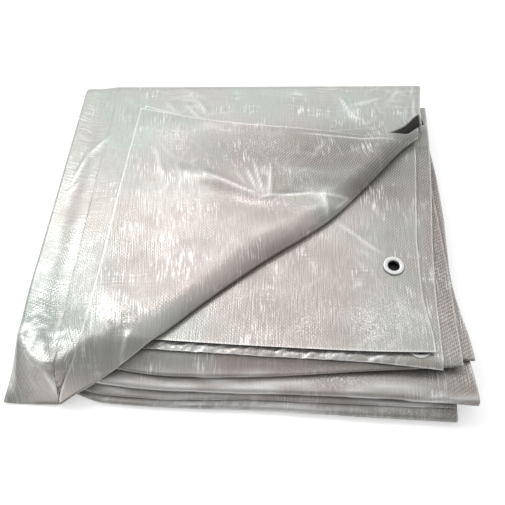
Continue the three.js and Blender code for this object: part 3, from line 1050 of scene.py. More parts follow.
@dataclass(frozen=True)
class CoatedCloth:
    """Silver coated film on a weave of flat tapes, crinkled and glossy.

    The depths are in metres. The scales set how fine the clouds of tint, the patches of painted
    glints, the crinkles, the patches of gloss and the painted bright specks are. Its colour also
    carries painted highlights, a painted reflection tint and painted shade.
    """

    name: str
    green: Colour = (0.53, 0.575, 0.54, 1)
    pink: Colour = (0.59, 0.52, 0.49, 1)
    # dark is the tone of the weave's gaps and streaks and of painted shade. The next colour is the
    # painted highlight, partly worn film. The last is the near black of painted shade where other
    # plies hide the cloth.
    dark: Colour = (0.2, 0.18, 0.165, 1)
    highlight_and_wear: Colour = (0.95, 0.95, 0.94, 1)
    hidden: Colour = (0.012, 0.011, 0.01, 1)
    metallic: float = 0.5
    roughness: float = 0.34
    tape_mm: float = 2.0
    weave_depth: float = 0.0002
    streak_depth: float = 0.00013
    crinkle_depth: float = 0.0004
    cloud_scale: float = 14.0
    glint_scale: float = 24.0
    crinkle_scale: float = 45.0
    gloss_scale: float = 30.0
    speck_scale: float = 640.0

    def weave(self, n: Nodes, cloth: Socket) -> Socket:
        """Weave flat tapes over and under each other.

        Args:
            n: The material's nodes.
            cloth: The place on the flat cloth.

        Returns:
            The height of the tapes, from 0 in the gaps to 1.
        """
        pitch = 1000 / self.tape_mm
        where = n.scaled(cloth, (pitch, pitch, 1))
        split = n.add("ShaderNodeSeparateXYZ")
        n.feed(split.inputs[0], where)
        across, along = (
            n.math("ABSOLUTE", n.math("SINE", n.math("MULTIPLY", way, math.pi)))
            for way in split.outputs[:2]
        )
        checker = n.add("ShaderNodeTexChecker")
        n.feed(checker.inputs["Vector"], where)
        checker.inputs["Scale"].default_value = 1.0
        over = checker.outputs["Fac"]
        upper = n.math("MULTIPLY", across, over)
        lower = n.math("MULTIPLY", n.math("MULTIPLY", along, 0.4), n.math("SUBTRACT", 1.0, over))
        return n.math("ADD", upper, lower)

    def streaks(self, n: Nodes, cloth: Socket, lie: Socket) -> Socket:
        """Draw the broken lines of the tapes under the film.

        Args:
            n: The material's nodes.
            cloth: The place on the flat cloth.
            lie: 0 for lines along the cloth, 1 for lines across it.

        Returns:
            Their height, from 0 to 1.
        """
        along = n.span(n.noise(n.scaled(cloth, (620, 45, 1)), 1.0, 2, 0.6), 0.3, 0.7)
        across = n.span(n.noise(n.scaled(cloth, (40, 420, 1)), 1.0, 2, 0.6), 0.3, 0.7)
        turn = n.math("ADD", lie, n.span(n.noise(cloth, 16, 2), 0.42, 0.62, -0.3, 0.2), clamp=True)
        first = n.math("MULTIPLY", along, n.math("SUBTRACT", 1.0, turn))
        return n.math("ADD", first, n.math("MULTIPLY", across, turn))

    def make(self) -> Material:
        """Build the material.

        Returns:
            The material, which reads the piece's weave UV map and its looks.
        """
        n = Nodes(self.name)
        place = n.add("ShaderNodeTexCoord").outputs["Object"]
        cloth = n.add("ShaderNodeUVMap", uv_map="weave").outputs["UV"]
        names = [look.value for look in Look] + ["crest", "ply_shade"]
        look = {
            name: n.add("ShaderNodeAttribute", attribute_name=name).outputs["Fac"]
            for name in names
        }
        weave = self.weave(n, cloth)
        streaks = self.streaks(n, cloth, look["lie"])

        # The hue: random clouds of tint, and the tint spots, which paint the pinkish colour of
        # reflected light.
        cloud = n.noise(place, self.cloud_scale, 3)
        hue = n.math("ADD", look["tint"], n.span(cloud, 0.3, 0.7, -0.3, 0.3), clamp=True)
        colour = n.blend(hue, self.green, self.pink)
        gaps = n.math("MULTIPLY", n.math("SUBTRACT", 1.0, weave), look["woven"])
        colour = n.blend(n.math("MULTIPLY", gaps, 1.1, clamp=True), colour, self.dark)
        colour = n.blend(n.span(streaks, 0.0, 0.8, 0.16, 0.0), colour, self.dark)
        # Painted shade: the shade spots darken the colour.
        colour = n.blend(look["shade"], colour, self.dark)
        # Painted glints: bright streaks within random patches.
        patches = n.span(n.noise(place, self.glint_scale, 3), 0.48, 0.66)
        glints = n.math("MULTIPLY", n.span(streaks, 0.62, 0.85), patches)
        colour = n.blend(n.math("MULTIPLY", glints, 0.7), colour, self.highlight_and_wear)
        # Painted sparkle: bright specks where the sparkle spots lie.
        specks = n.span(n.noise(place, self.speck_scale, 2, 0.6), 0.5, 0.66)
        colour = n.blend(n.math("MULTIPLY", specks, look["sparkle_highlight"], clamp=True), colour, self.highlight_and_wear)
        # Painted highlight, partly worn film, along crests and edges.
        colour = n.blend(n.math("MULTIPLY", look["crest"], 0.7, clamp=True), colour, self.highlight_and_wear)
        # Painted shade: near black where other plies hide the cloth.
        colour = n.blend(look["ply_shade"], colour, self.hidden)

        woven = n.math("MULTIPLY", weave, n.span(look["woven"], 0, 1, 0.35, 1.4))
        normal = n.bump(woven, self.weave_depth)
        normal = n.bump(streaks, self.streak_depth, normal)
        normal = n.bump(n.noise(place, self.crinkle_scale, 4, 0.55), self.crinkle_depth, normal)
        gloss = n.noise(place, self.gloss_scale, 3)
        rough = n.span(gloss, 0.3, 0.7, self.roughness - 0.08, self.roughness + 0.08)
        return n.finish({
            "Base Color": colour,
            "Metallic": self.metallic,
            "Roughness": n.math("ADD", rough, n.math("MULTIPLY", look["woven"], 0.12)),
            "Normal": normal,
        })


@dataclass(frozen=True)
class RolledAluminium:
    """Bright aluminium, pressed and rolled, with small scratches and faint grime."""

    name: str
    colour: Colour = (0.72, 0.73, 0.73, 1)
    grimy: Colour = (0.6, 0.6, 0.6, 1)
    metallic: float = 0.9
    roughness: float = 0.3
    scratch_depth: float = 0.00004

    def make(self) -> Material:
        """Build the material.

        Returns:
            The material, which reads Object coordinates.
        """
        n = Nodes(self.name)
        place = n.add("ShaderNodeTexCoord").outputs["Object"]
        scratch = n.noise(n.scaled(place, (2500, 300, 600)), 1.0, 2)
        grime = n.span(n.noise(place, 700, 2), 0.45, 0.75, 0.0, 0.35)
        return n.finish({
            "Base Color": n.blend(grime, self.colour, self.grimy),
            "Metallic": self.metallic,
            "Roughness": n.span(scratch, 0.3, 0.7, self.roughness, self.roughness + 0.15),
            "Normal": n.bump(scratch, self.scratch_depth),
        })


@dataclass(frozen=True)
class StudioPaper:
    """The plain pale paper of the studio's floor, which glows a little."""

    name: str
    colour: Colour = (0.93, 0.93, 0.93, 1)
    fibre_colour: Colour = (0.85, 0.85, 0.85, 1)
    roughness: float = 0.8
    glow: float = 0.45

    def make(self) -> Material:
        """Build the material.

        Returns:
            The material, which reads Object coordinates.
        """
        n = Nodes(self.name)
        fibre = n.noise(n.add("ShaderNodeTexCoord").outputs["Object"], 400, 2)
        return n.finish({
            "Base Color": n.blend(n.math("MULTIPLY", fibre, 0.02), self.colour, self.fibre_colour),
            "Roughness": self.roughness,
            "Emission Color": (1, 1, 1, 1),
            "Emission Strength": self.glow,
        })


# The cloth


class Look(Enum):
    """What varies softly over the cloth, each an attribute that its material reads."""

    TINT = "tint"
    WOVEN = "woven"
    LIE = "lie"
    SHADE = "shade"
    SPARKLE_HIGHLIGHT = "sparkle_highlight"


@dataclass(frozen=True)
class Spot:
    """A soft spot of a look on the cloth, placed from above."""

    middle: Pair
    reach: Pair
    amount: float


# tint: 0 greenish silver, 1 pinkish grey; its spots paint the pinkish colour of reflected light.
# woven: how much the weave shows. lie: 0 for tapes that gleam along the cloth, 1 for across.
# The sparkle look: how many painted bright specks of highlight. shade: how much painted shade
# darkens the cloth. Each has the strength that it has everywhere, and its spots.
LOOKS: dict[Look, tuple[float, tuple[Spot, ...]]] = {
    Look.TINT: (
        0.15,
        (
            Spot((200, 190), (130, 110), 0.9),
            Spot((270, 100), (80, 60), 0.8),
            Spot((250, 20), (260, 26), 0.6),
            Spot((330, 300), (70, 40), 0.4),
            Spot((450, 200), (30, 200), 0.6),
        ),
    ),
    Look.WOVEN: (
        0.12,
        (
            Spot((335, 290), (95, 45), 1.0),
            Spot((190, 290), (60, 30), 0.35),
            Spot((444, 200), (24, 240), 0.8),
            Spot((395, 200), (26, 120), 0.3),
        ),
    ),
    Look.LIE: (0.1, (Spot((30, 200), (38, 200), 0.9), Spot((260, 400), (240, 30), 0.7))),
    Look.SPARKLE_HIGHLIGHT: (
        0.03,
        (
            Spot((352, 82), (20, 22), 0.9),
            Spot((385, 90), (26, 30), 0.45),
            Spot((293, 76), (14, 16), 0.8),
            Spot((322, 29), (40, 7), 1.0),
            Spot((400, 9), (34, 5), 0.8),
            Spot((270, 4), (90, 3), 0.4),
            Spot((116, 70), (16, 14), 0.9),
            Spot((134, 312), (18, 16), 0.7),
            Spot((252, 218), (46, 8), 0.8),
            Spot((168, 208), (14, 18), 0.6),
            Spot((104, 190), (8, 20), 0.4),
            Spot((240, 300), (50, 26), 0.35),
            Spot((352, 362), (12, 10), 0.6),
            Spot((40, 110), (16, 60), 0.4),
            Spot((444, 200), (24, 240), 0.3),
        ),
    ),
    Look.SHADE: (
        0.0,
        (
            Spot((330, 248), (70, 12), 0.55),
            Spot((340, 40), (95, 7), 0.4),
            Spot((300, 5), (120, 5), 0.35),
            Spot((120, 70), (14, 22), 0.3),
            Spot((98, 160), (18, 70), 0.28),
            Spot((240, 110), (110, 60), 0.14),
            Spot((2, 210), (9, 400), 0.4),
        ),
    ),
}


def look_at(look: Look, x: Array, y: Array) -> Array:
    """Find how strong a look is at places on the package.

    Args:
        look: The look.
        x: Places from the left side.
        y: Places from the front edge.

    Returns:
        Its strength at each place, from 0 to 1.
    """
    base, spots = LOOKS[look]
    strength = np.full(np.broadcast(x, y).shape, base)
    for spot in spots:
        u = (x - spot.middle[0]) / spot.reach[0]
        v = (y - spot.middle[1]) / spot.reach[1]
        strength = strength + spot.amount * np.exp(-(u**2) - v**2)
    return np.clip(strength, 0, 1)


def dress_cloth(made: Object, material: Material) -> None:
    """Give a cloth piece its material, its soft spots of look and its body.

    Args:
        made: The piece.
        material: Its material.
    """
    count = len(made.data.vertices)
    flat = np.empty(count * 3)
    made.data.vertices.foreach_get("co", flat)
    spots = flat.reshape(-1, 3) / MM + FORM_SHIFT
    for look in Look:
        set_attribute(made, look.value, look_at(look, spots[:, 0], spots[:, 1]))
    made.data.materials.append(material)
    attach(made, BODY)


@dataclass
class FoldedStack:
    """The cloth laid back and forth, from the floor ply to the loose ply with its free edge."""

    left: float = 17.0
    right: float = 440.0
    ply: float = 0.9
    stations: int = 190
    nose_reach_most: float = 7.0
    back_steps: tuple[float, ...] = (13, 18, 15, 19, 16, 17)
    visible_back: float = 0.13
    nose_points: int = 9
    back_points: int = 3
    # How dark the painted shade is where a nose starts, and how far behind it the ply under it is
    # hidden and painted in shade
    nose_shade: float = 0.85
    nose_depth: float = 5.0
    # How the creases of the folds lean and how strong they are, and how strong the painted
    # highlight, partly wear, is on the side and the free edge
    crease_lean: float = 0.6
    crease_share: float = 0.8
    crease_heights: Pair = (1.5, 5.0)
    side_highlight_and_wear: float = 0.6
    edge_highlight_and_wear: float = 0.9
    size: Pair = (0.0, 0.0)

    def nose_reach(self, name: FoldName, x: Array) -> Array:
        """Find how far the nose of a fold bulges.

        Args:
            name: The fold.
            x: Places from the left side.

        Returns:
            The reach of the nose at each place.
        """
        lower = 2 * name.value
        y = FOLDS[name].nose_at(x) + 4
        opening = FORM.stack_height(lower + 1, x, y) - FORM.stack_height(lower, x, y)
        return np.minimum(opening * 0.6, self.nose_reach_most)

    def ply_run(self, ply: int, share: Array) -> Array:
        """Lay one ply of a fold from its front to its back.

        Args:
            ply: The ply, where 0 lies on the floor.
            share: The stations, as shares of the width.

        Returns:
            The points, [station, point].
        """
        name = FoldName(ply // 2)
        front_x = mix(self.left, self.right, share)
        front = FOLDS[name].nose_at(front_x) + self.nose_reach(name, front_x)
        back = FORM.back_line(front_x) - self.back_steps[(ply + 1) // 2]
        run = shares_between((0, self.visible_back, 9), (self.visible_back, 0.3, 3), (0.3, 1, 4))
        y = rows_between(front, back, run)
        x = mix(self.left, FOLDS[name].right_at(y), share[:, None])
        return stack_xyz(x, y, FORM.stack_height(ply, x, y))

    def under_run(self, share: Array) -> Array:
        """Lay the loose ply from its free front edge to its back.

        Args:
            share: The stations, as shares of the width.

        Returns:
            The points, [station, point].
        """
        hem_start = FORM.hem_start(FORM.under_right)
        front_x = mix(self.left, hem_start, share)
        run = shares_between(*UNDER_RUN, (UNDER_RUN[-1][1], 1, 2))
        front = FORM.under_front(front_x)
        back = FORM.back_line(front_x) - BACK_INSETS[Loose.LOWER]
        y = rows_between(front, back, run)
        x = mix(self.left, FORM.under_right(y) - FORM.hem_width, share[:, None])
        return stack_xyz(x, y, FORM.under_height(x, y))

    def shade_under(self, ply: int, x: Array, y: Array) -> Array:
        """Find where a ply of the stack is hidden by the plies above it.

        Args:
            ply: The ply, where 0 lies on the floor.
            x: Places from the left side.
            y: Places from the front edge.

        Returns:
            1 where it is hidden and painted in shade, and 0 where it shows.
        """
        covers = [(FORM.panel_front(x), FORM.panel_right(y))]
        if ply < FORM.stack_plies:
            covers.append((FORM.under_front(x), FORM.under_right(y)))
        for name in FoldName:
            above = 2 * name.value + 1
            if above > ply:
                own = self.nose_depth if above == ply + 1 else 0.0
                covers.append((FOLDS[name].nose_at(x) + own, FOLDS[name].right_at(y)))
        depths = [
            smooth_step(1, 6, y - front) * smooth_step(0, 5, right - x)
            for front, right in covers
        ]
        return np.max(depths, axis=0)

    def build(self) -> Object:
        """Build the stack.

        Returns:
            The finished piece, not yet dressed.
        """
        sections, hidden = self.lay()
        grid = SETTLING.apply(np.concatenate(sections, axis=1))
        x, y = grid[..., 0], grid[..., 1]
        weave = np.stack([x, arc_lengths(grid, 1)], axis=-1)
        under = np.arange(grid.shape[1])[None, :] >= grid.shape[1] - sections[-1].shape[1]
        lift_under, crest_under = crease_lift(Place.UNDER, x, y)
        lift_fold, crest_fold = crease_lift(Place.STACK, x, y + grid[..., 2] * self.crease_lean)
        outer = smooth_step(*self.crease_heights, grid[..., 2])
        grid[..., 2] += np.where(under, lift_under, 0)
        lift = np.where(under, 0, lift_fold * outer * self.crease_share)
        grid = grid + grid_normals(grid) * lift[..., None]
        # Painted highlight, partly wear, on the crests, the right side and the free edge.
        crest = np.where(under, crest_under, crest_fold * outer)
        crest[-1, ~under[0]] = self.side_highlight_and_wear
        crest[:, -1] = self.edge_highlight_and_wear
        # Painted shade where plies above hide the cloth.
        ply_shade = np.concatenate(hidden, axis=1)
        made = SheetGrid(grid, weave, self.ply, crest, ply_shade).write("tarp_stack")
        self.size = mean_size(arc_lengths(grid, 0), weave[..., 1])
        return made

    def lay(self) -> tuple[list[Array], list[Array]]:
        """Lay all plies back and forth, with the folds that join them.

        Returns:
            The points of each ply and fold in turn, and how much painted shade each point has
            where it is hidden.
        """
        share = np.linspace(0, 1, self.stations)
        sections: list[Array] = []
        hidden: list[Array] = []
        for ply in range(FORM.stack_plies + 1):
            last = ply == FORM.stack_plies
            points = self.under_run(share) if last else self.ply_run(ply, share)
            if ply % 2 == 0:
                points = points[:, ::-1]
            if ply > 0:
                start, end = sections[-1][:, -1], points[:, 0]
                if ply % 2 == 0:
                    reach = FORM.middle_pitch / 2
                    fold = fold_points(start, end, reach, 1, self.back_points)
                    dark = 0.0
                else:
                    reach = self.nose_reach(FoldName((ply - 1) // 2), end[:, 0])
                    fold = fold_points(start, end, reach, -1, self.nose_points)
                    dark = self.nose_shade
                sections.append(fold)
                # Painted shade fades round each nose from where it starts.
                fading = np.linspace(dark, 0.0, fold.shape[1])
                hidden.append(np.tile(fading, (self.stations, 1)))
            sections.append(points)
            hidden.append(self.shade_under(ply, points[..., 0], points[..., 1]))
        return sections, hidden

    def dress(self, made: Object, material: Material, with_pieces: list[Object]) -> None:
        """Dress the stack and hide the model's cloth part.

        Args:
            made: The piece that build returned.
            material: The cloth's material.
            with_pieces: Not used.
        """
        dress_cloth(made, material)
        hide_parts("tarp_cloth")


@dataclass
class CoverPly:
    """The ply over everything, turned down round the left side and the back to the floor."""

    left: float = 1.0
    corner: float = 15.0
    foot: float = 2.4
    ply: float = 0.8
    side_power: float = 1.5
    wrap_radius: float = 13.0
    wrap_foot: float = 6.0
    # How far the front edge starts behind the crease of the ply under it, from where on
    tuck: float = 3.0
    recess_start: float = 55.0
    right_edge: Curve = Curve((340, 372, 382, 424), (440, 437, 438, 444))
    right_start: float = 340.0
    # From where it lifts off the ply under it, and where that ends
    off_start: float = 28.0
    off_end: float = 56.0
    # Its foot, turned in on the floor: each step inward and its rise off the floor ply
    foot_left: float = 17.0
    foot_right: float = 440.0
    turned_in_left: float = 19.0
    turned_in_right: float = 436.0
    turned_in: tuple[Pair, Pair] = ((2.5, 1.1), (7.0, 0.0))
    turned_in_lean: float = 0.7
    # The painted shadow in front of the turned corner's far edge
    shadow_from: Pair = (150.0, 210.0)
    shadow_to: Pair = (325.0, 300.0)
    crease_heights: Pair = (2.0, 8.0)
    # The painted highlight, partly wear, on the right edge
    side_highlight_and_wear: float = 0.7
    size: Pair = (0.0, 0.0)

    def front_at(self, x: Array) -> Array:
        """Return where the cover ply starts at the front."""
        tucked = FORM.upper_crease(np.maximum(x, FORM.turned_apex)) + self.tuck
        return mix(1.0, tucked, smooth_step(self.recess_start, FORM.turned_apex, x))

    def stations(self) -> tuple[Array, Array, Array]:
        """Share out the stations, first up the left side and then across.

        Returns:
            The place across, the share of the height and the share of the width of each station.
            The last is negative on the left side.
        """
        climb = np.linspace(0, 1, 14)[:-1]
        side_x = mix(self.left, self.corner, climb)
        share = shares_between((0, 0.12, 34), (0.12, 1, 130))
        x = np.concatenate([side_x, np.full(len(share), self.corner)])
        height = np.concatenate([1 - (1 - climb) ** self.side_power, np.ones(len(share))])
        return x, height, np.concatenate([np.full(len(side_x), -1.0), share])

    def build(self) -> Object:
        """Build the cover ply.

        Returns:
            The finished piece, not yet dressed.
        """
        corner_x, height, share = self.stations()
        inside = share < 0

        def x_at(y: Array) -> Array:
            """Find the place across of each station.

            Args:
                y: Places from the front edge, one row for each station.

            Returns:
                The place of each from the left side.
            """
            shape = (-1, *([1] * (y.ndim - 1)))
            spread = share.reshape(shape)
            across = mix(self.corner, self.right_edge(y), spread)
            return np.where(spread > 0, across, corner_x.reshape(shape))

        front_x = x_at(np.full(len(corner_x), self.right_start))
        front = self.front_at(front_x)
        back = FORM.back_line(front_x) - self.wrap_radius
        run = shares_between((0, 0.2, 40), (0.2, 1, 90))
        y = rows_between(front, back, run)
        x = x_at(y)
        off = FORM.cover_pitch * smooth_step(self.off_start, self.off_end, x) * FORM.closeness(x, y)
        top = FORM.cover_point(x, y, off)
        top[..., 2] = mix(self.foot, top[..., 2], height[:, None])
        last = top[:, -1]
        drop = np.clip(last[:, 2] - self.foot, 0, self.wrap_radius)
        turn = np.radians(np.linspace(0, 90, 9)[1:])
        wrap = stack_xyz(
            last[:, :1] + 0 * turn,
            back[:, None] + self.wrap_radius * np.sin(turn),
            last[:, 2:] - drop[:, None] * (1 - np.cos(turn)),
        )
        feet = self.feet(last, wrap[:, -1, 2], back + self.wrap_radius, inside)
        grid = SETTLING.apply(np.concatenate([top, wrap, feet], axis=1))
        lift, crest = crease_lift(Place.COVER, grid[..., 0], grid[..., 1])
        fade = smooth_step(*self.crease_heights, grid[..., 2])
        grid = grid + grid_normals(grid) * (lift * fade)[..., None]
        across = arc_lengths(grid, 0, (0, 2))
        weave = np.stack([across, arc_lengths(grid, 1) + front[:, None]], axis=-1)
        x, y = grid[..., 0], grid[..., 1]
        edge = np.maximum(FORM.upper_turned_edge(x), FORM.lower_turned_edge(x))
        # Painted shade under the turned corner, and a painted shadow in front of its far edge.
        edge_shadow = smooth_step(*self.shadow_from, x) * smooth_step(*self.shadow_to, x)
        ply_shade = np.maximum(FORM.shade_under_corner(x, y, edge), smooth_step(-6, 0, edge - y) * edge_shadow)
        # Painted highlight, partly wear, on the crests and the right edge.
        crest = crest * fade
        crest[-1] = self.side_highlight_and_wear
        made = SheetGrid(grid, weave, self.ply, crest, ply_shade).write("tarp_cover")
        self.size = mean_size(across, arc_lengths(grid, 1))
        return made

    def feet(self, last: Array, wrap_end: Array, foot_y: Array, inside: Array) -> Array:
        """Lay the ply from the end of its wrap round the back to its foot, turned in on the floor.

        Args:
            last: The last point of each station on top.
            wrap_end: The height at which the wrap of each ends.
            foot_y: The place of each foot from the front edge.
            inside: Whether each station is on the left side.

        Returns:
            The points, [station, point].
        """
        floor = FORM.solid_ply / 2
        last_x = last[:, 0]
        beside = (last_x + mix(self.foot_left, last_x, last_x / self.corner)) / 2
        foot_x = np.where(inside, beside, last_x)
        low = np.minimum(self.wrap_foot, (last[:, 2] + floor) / 2)
        share = np.maximum((last_x - self.corner) / (self.foot_right - self.corner), 0)
        in_x = mix(self.turned_in_left, self.turned_in_right, share)
        points = [stack_xyz(foot_x, foot_y, (wrap_end + low) / 2), stack_xyz(foot_x, foot_y, low)]
        for lean, (inward, rise) in zip((self.turned_in_lean, 1.0), self.turned_in):
            points.append(stack_xyz(mix(last_x, in_x, lean), foot_y - inward, floor + rise))
        return np.stack(points, axis=1)

    def dress(self, made: Object, material: Material) -> None:
        """Dress the cover ply and hide the model's cloth part.

        Args:
            made: The piece that build returned.
            material: The cloth's material.
        """
        dress_cloth(made, material)
        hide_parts("tarp_cloth")


@dataclass
class TurnedCorner:
    """The panel, its fold at the back and the corner turned back over the diagonal crease."""

    ply: float = 0.8
    panel_left: float = 27.0
    start: float = 56.5
    corner: float = 91.0
    right: float = 428.0
    return_right: float = 434.0
    tuck: float = 4.0
    stations: int = 150
    lap_insets: tuple[float, ...] = (9, 4, 0)
    roll_bulge: float = 1.4
    roll_points: int = 9
    # Painted highlight, partly wear, on its edges and sides, and painted shade on the panel's
    # underside
    edge_highlight_and_wear: float = 0.8
    side_highlight_and_wear: float = 0.9
    underside_shade: float = 0.9
    weave_lean_deg: float = -7.0
    # The painted shadow under the corner's far edge, and the painted shade in the open curl at
    # its right end
    flap_edge_shadow: Pair = (170.0, 230.0)
    curl_start: float = 386.0
    curl_length: float = 40.0
    curl_power: float = 1.2
    curl_fade: Pair = (382.0, 402.0)
    curl_end: Pair = (435.0, 431.0)
    size: Pair = (0.0, 0.0)
    return_size: Pair = (0.0, 0.0)

    def turned(
        self, across: Array, crease: Curve, edge: Curve, off: float, corner: float, right: float
    ) -> Array:
        """Lay a turned back ply from its crease to its edge.

        Args:
            across: The stations, as shares of the width.
            crease: The line of the crease.
            edge: The line of the far edge.
            off: How far the ply lies off the lowest cover ply.
            corner: The left end of the far edge.
            right: The right end of both lines.

        Returns:
            The points, [station, point].
        """
        base_x = mix(self.start + corner - self.corner, right, across)[:, None]
        edge_x = mix(corner, right, across)[:, None]
        run = shares_between((0, 0.18, 36), (0.18, 1, 90))[None, :]
        x = mix(base_x, edge_x, FORM.turned_shift(run))
        y = mix(crease(base_x), edge(edge_x), run)
        return FORM.cover_point(x, y, off * FORM.closeness(x, y) + FORM.roll(x, y))

    def panel(self, across: Array) -> Array:
        """Lay the panel from its free front edge to its back.

        Args:
            across: The stations, as shares of the width.

        Returns:
            The points, [station, point].
        """
        hem_start = FORM.hem_start(FORM.panel_right)
        front_x = mix(self.panel_left, hem_start, across)
        front = FORM.panel_front(front_x)
        back = FORM.back_line(front_x) - BACK_INSETS[Loose.UPPER]
        run = shares_between(*PANEL_RUN, (PANEL_RUN[-1][1], 1, 4))
        y = rows_between(front, back, run)
        x = mix(self.panel_left, FORM.panel_right(y) - FORM.hem_width, across[:, None])
        return stack_xyz(x, y, FORM.panel_height(x, y))

    def build(self) -> Object:
        """Build the panel and the turned corner.

        Returns:
            The finished piece, not yet dressed.
        """
        across = np.linspace(0, 1, self.stations)
        panel = self.panel(across)
        base_x = mix(self.start, self.right, across)
        crease = FORM.lower_crease(base_x)
        back = FORM.back_line(base_x) - BACK_INSETS[Loose.UPPER]
        run = shares_between((1, 0.22, 5), (0.22, 0, 12))
        y = rows_between(crease, back, run)
        inner = FORM.cover_point(base_x[:, None] + 0 * y, y, 0.0)
        turned = self.turned(
            across, FORM.lower_crease, FORM.lower_turned_edge, 3 * FORM.cover_pitch,
            self.corner, self.right,
        )
        back_fold = fold_points(panel[:, -1], inner[:, 0], FORM.cover_pitch / 2, 1, 3)
        bulge = FORM.cover_pitch * self.roll_bulge * FORM.crease_closeness(base_x)
        roll = fold_points(inner[:, -1], turned[:, 0], bulge, -1, self.roll_points)
        hidden = panel.shape[1] + back_fold.shape[1] + inner.shape[1]
        grid = SETTLING.apply(np.concatenate([panel, back_fold, inner, roll, turned], axis=1))
        x, y = grid[..., 0], grid[..., 1]
        column = np.arange(grid.shape[1])
        on_panel = (column < panel.shape[1])[None, :]
        flap_start = hidden + self.roll_points // 2
        on_flap = (column >= flap_start)[None, :]
        panel_lift, panel_crest = crease_lift(Place.PANEL, x, y)
        flap_lift, flap_crest = crease_lift(Place.FLAP, x, y)
        crest = np.where(on_panel, panel_crest, np.where(on_flap, flap_crest, 0.0))
        grid[..., 2] += np.where(on_panel, panel_lift, np.where(on_flap, flap_lift, 0.0))
        weave = np.stack([x, arc_lengths(grid, 1) + panel[:, :1, 1]], axis=-1)
        after = self.turned_weave(grid, hidden + roll.shape[1])
        behind = FORM.behind_crease(x, y)
        # Painted shade on the panel and the inner ply where the turned corner lies over them.
        ply_shade = np.where(on_panel, smooth_step(1, 9, behind), 0.0)
        on_inner = (column >= panel.shape[1]) & (column < hidden)
        ply_shade = np.where(on_inner[None, :], smooth_step(2, 10, behind), ply_shade)
        # Painted highlight, partly wear, on the edges and the flap's sides.
        crest[:, [0, -1]] = self.edge_highlight_and_wear
        crest[[0, -1], flap_start:] = self.side_highlight_and_wear
        # Painted shade on the panel's underside.
        below = np.where(on_panel, self.underside_shade, ply_shade)
        sheet = SheetGrid(grid, weave, self.ply, crest, ply_shade, below, after, hidden)
        made = sheet.write("tarp_corner")
        self.size = mean_size(arc_lengths(grid, 0), arc_lengths(grid, 1))
        return made

    def turned_weave(self, grid: Array, first: int) -> Array:
        """Place the turned ply on the flat cloth.

        Args:
            grid: The points of the whole section.
            first: The column where the turned ply starts, after the roll.

        Returns:
            The cloth coordinates, which also run round the roll.
        """
        lengths = arc_lengths(grid, 1)
        behind = np.minimum(lengths - lengths[:, first : first + 1], 0)
        spot_x = grid[..., 0]
        spot_y = np.where(behind < 0, grid[:, first : first + 1, 1] + behind, grid[..., 1])
        lean = math.radians(self.weave_lean_deg)
        u = spot_x * math.cos(lean) - spot_y * math.sin(lean)
        v = spot_x * math.sin(lean) + spot_y * math.cos(lean)
        return np.stack([u, v], axis=-1)

    def build_return(self) -> Object:
        """Build the part of the cover ply that is turned back under the corner.

        Returns:
            The finished piece, not yet dressed.
        """
        across = np.linspace(0, 1, 110)
        run = self.turned(
            across, FORM.upper_crease, FORM.upper_turned_edge, 2 * FORM.cover_pitch,
            self.corner + self.tuck, self.return_right,
        )
        x = mix(self.start + self.tuck, self.return_right, across)[:, None]
        insets = np.array(self.lap_insets)[None, :]
        lap_y = FORM.upper_crease(x) + insets
        lap = FORM.cover_point(x + 0 * insets, lap_y, FORM.cover_pitch * FORM.closeness(x, lap_y))
        roll = fold_points(lap[:, -1], run[:, 0], FORM.cover_pitch / 2, -1, 5)
        grid = SETTLING.apply(np.concatenate([lap, roll, run], axis=1))
        weave = self.turned_weave(grid, lap.shape[1] + 5)
        x, y = grid[..., 0], grid[..., 1]
        edge = FORM.lower_turned_edge(x)
        # A painted shadow under the corner's far edge, and painted shade under the turned corner
        # and in the open curl at the right end.
        ply_shade = smooth_step(-4, 1, edge - y) * smooth_step(*self.flap_edge_shadow, x)
        ply_shade = np.maximum(ply_shade, FORM.shade_under_corner(x, y, edge))
        opened = np.clip((x - self.curl_start) / self.curl_length, 0, 1) ** self.curl_power
        curl_top = mix(edge + 2, FORM.upper_turned_edge(x) - 2, opened)
        curl = smooth_step(*self.curl_fade, x) * smooth_step(*self.curl_end, x)
        ply_shade = np.maximum(ply_shade, smooth_step(-3, 1.5, curl_top - y) * curl)
        # Painted highlight, partly wear, on the far edge and the sides.
        crest = np.zeros(grid.shape[:2])
        crest[:, -1] = crest[0] = crest[-1] = self.side_highlight_and_wear
        made = SheetGrid(grid, weave, self.ply, crest, ply_shade).write("tarp_return")
        self.return_size = mean_size(arc_lengths(grid, 0), arc_lengths(grid, 1))
        return made

    def dress(
        self, made: Object, turned_back: Object, material: Material, with_pieces: list[Object]
    ) -> None:
        """Dress both sheets and hide the model's cloth part.

        Args:
            made: The piece that build returned.
            turned_back: The piece that build_return returned.
            material: The cloth's material.
            with_pieces: Not used.
        """
        for piece in (made, turned_back):
            dress_cloth(piece, material)
            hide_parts("tarp_cloth")


# Hems and eyelets


def ply_height(loose: Loose, x: Array | float, y: Array | float) -> Array:
    """Find the height of a loose ply, with the settling that all plies share.

    Args:
        loose: The loose ply.
        x: Places from the left side.
        y: Places from the front edge.

    Returns:
        The height at each place.
    """
    find = FORM.panel_height if loose is Loose.UPPER else FORM.under_height
    x, y = np.asarray(x, dtype=float), np.asarray(y, dtype=float)
    return SETTLING.apply(stack_xyz(x, y, find(x, y)))[..., 2]


def seat_matrix(loose: Loose) -> Matrix:
    """Find where an eyelet sits.

    Args:
        loose: The loose ply that it sits in.

    Returns:
        The move from the origin to the seat, square to the cloth, in metres.
    """
    place = EYELET_PLACES[loose]
    reach = place.flat
    left, right = (float(ply_height(loose, place.x + side, place.y)) for side in (-reach, reach))
    before, behind = (float(ply_height(loose, place.x, place.y + side)) for side in (-reach, reach))
    way = Vector(((left - right) / (2 * reach), (before - behind) / (2 * reach), 1.0)).normalized()
    seat = Vector(np.array([place.x, place.y, (behind + before) / 2]) - FORM_SHIFT) * MM
    turn = Vector((0, 0, 1)).rotation_difference(way).to_matrix().to_4x4()
    return Matrix.Translation(seat) @ turn


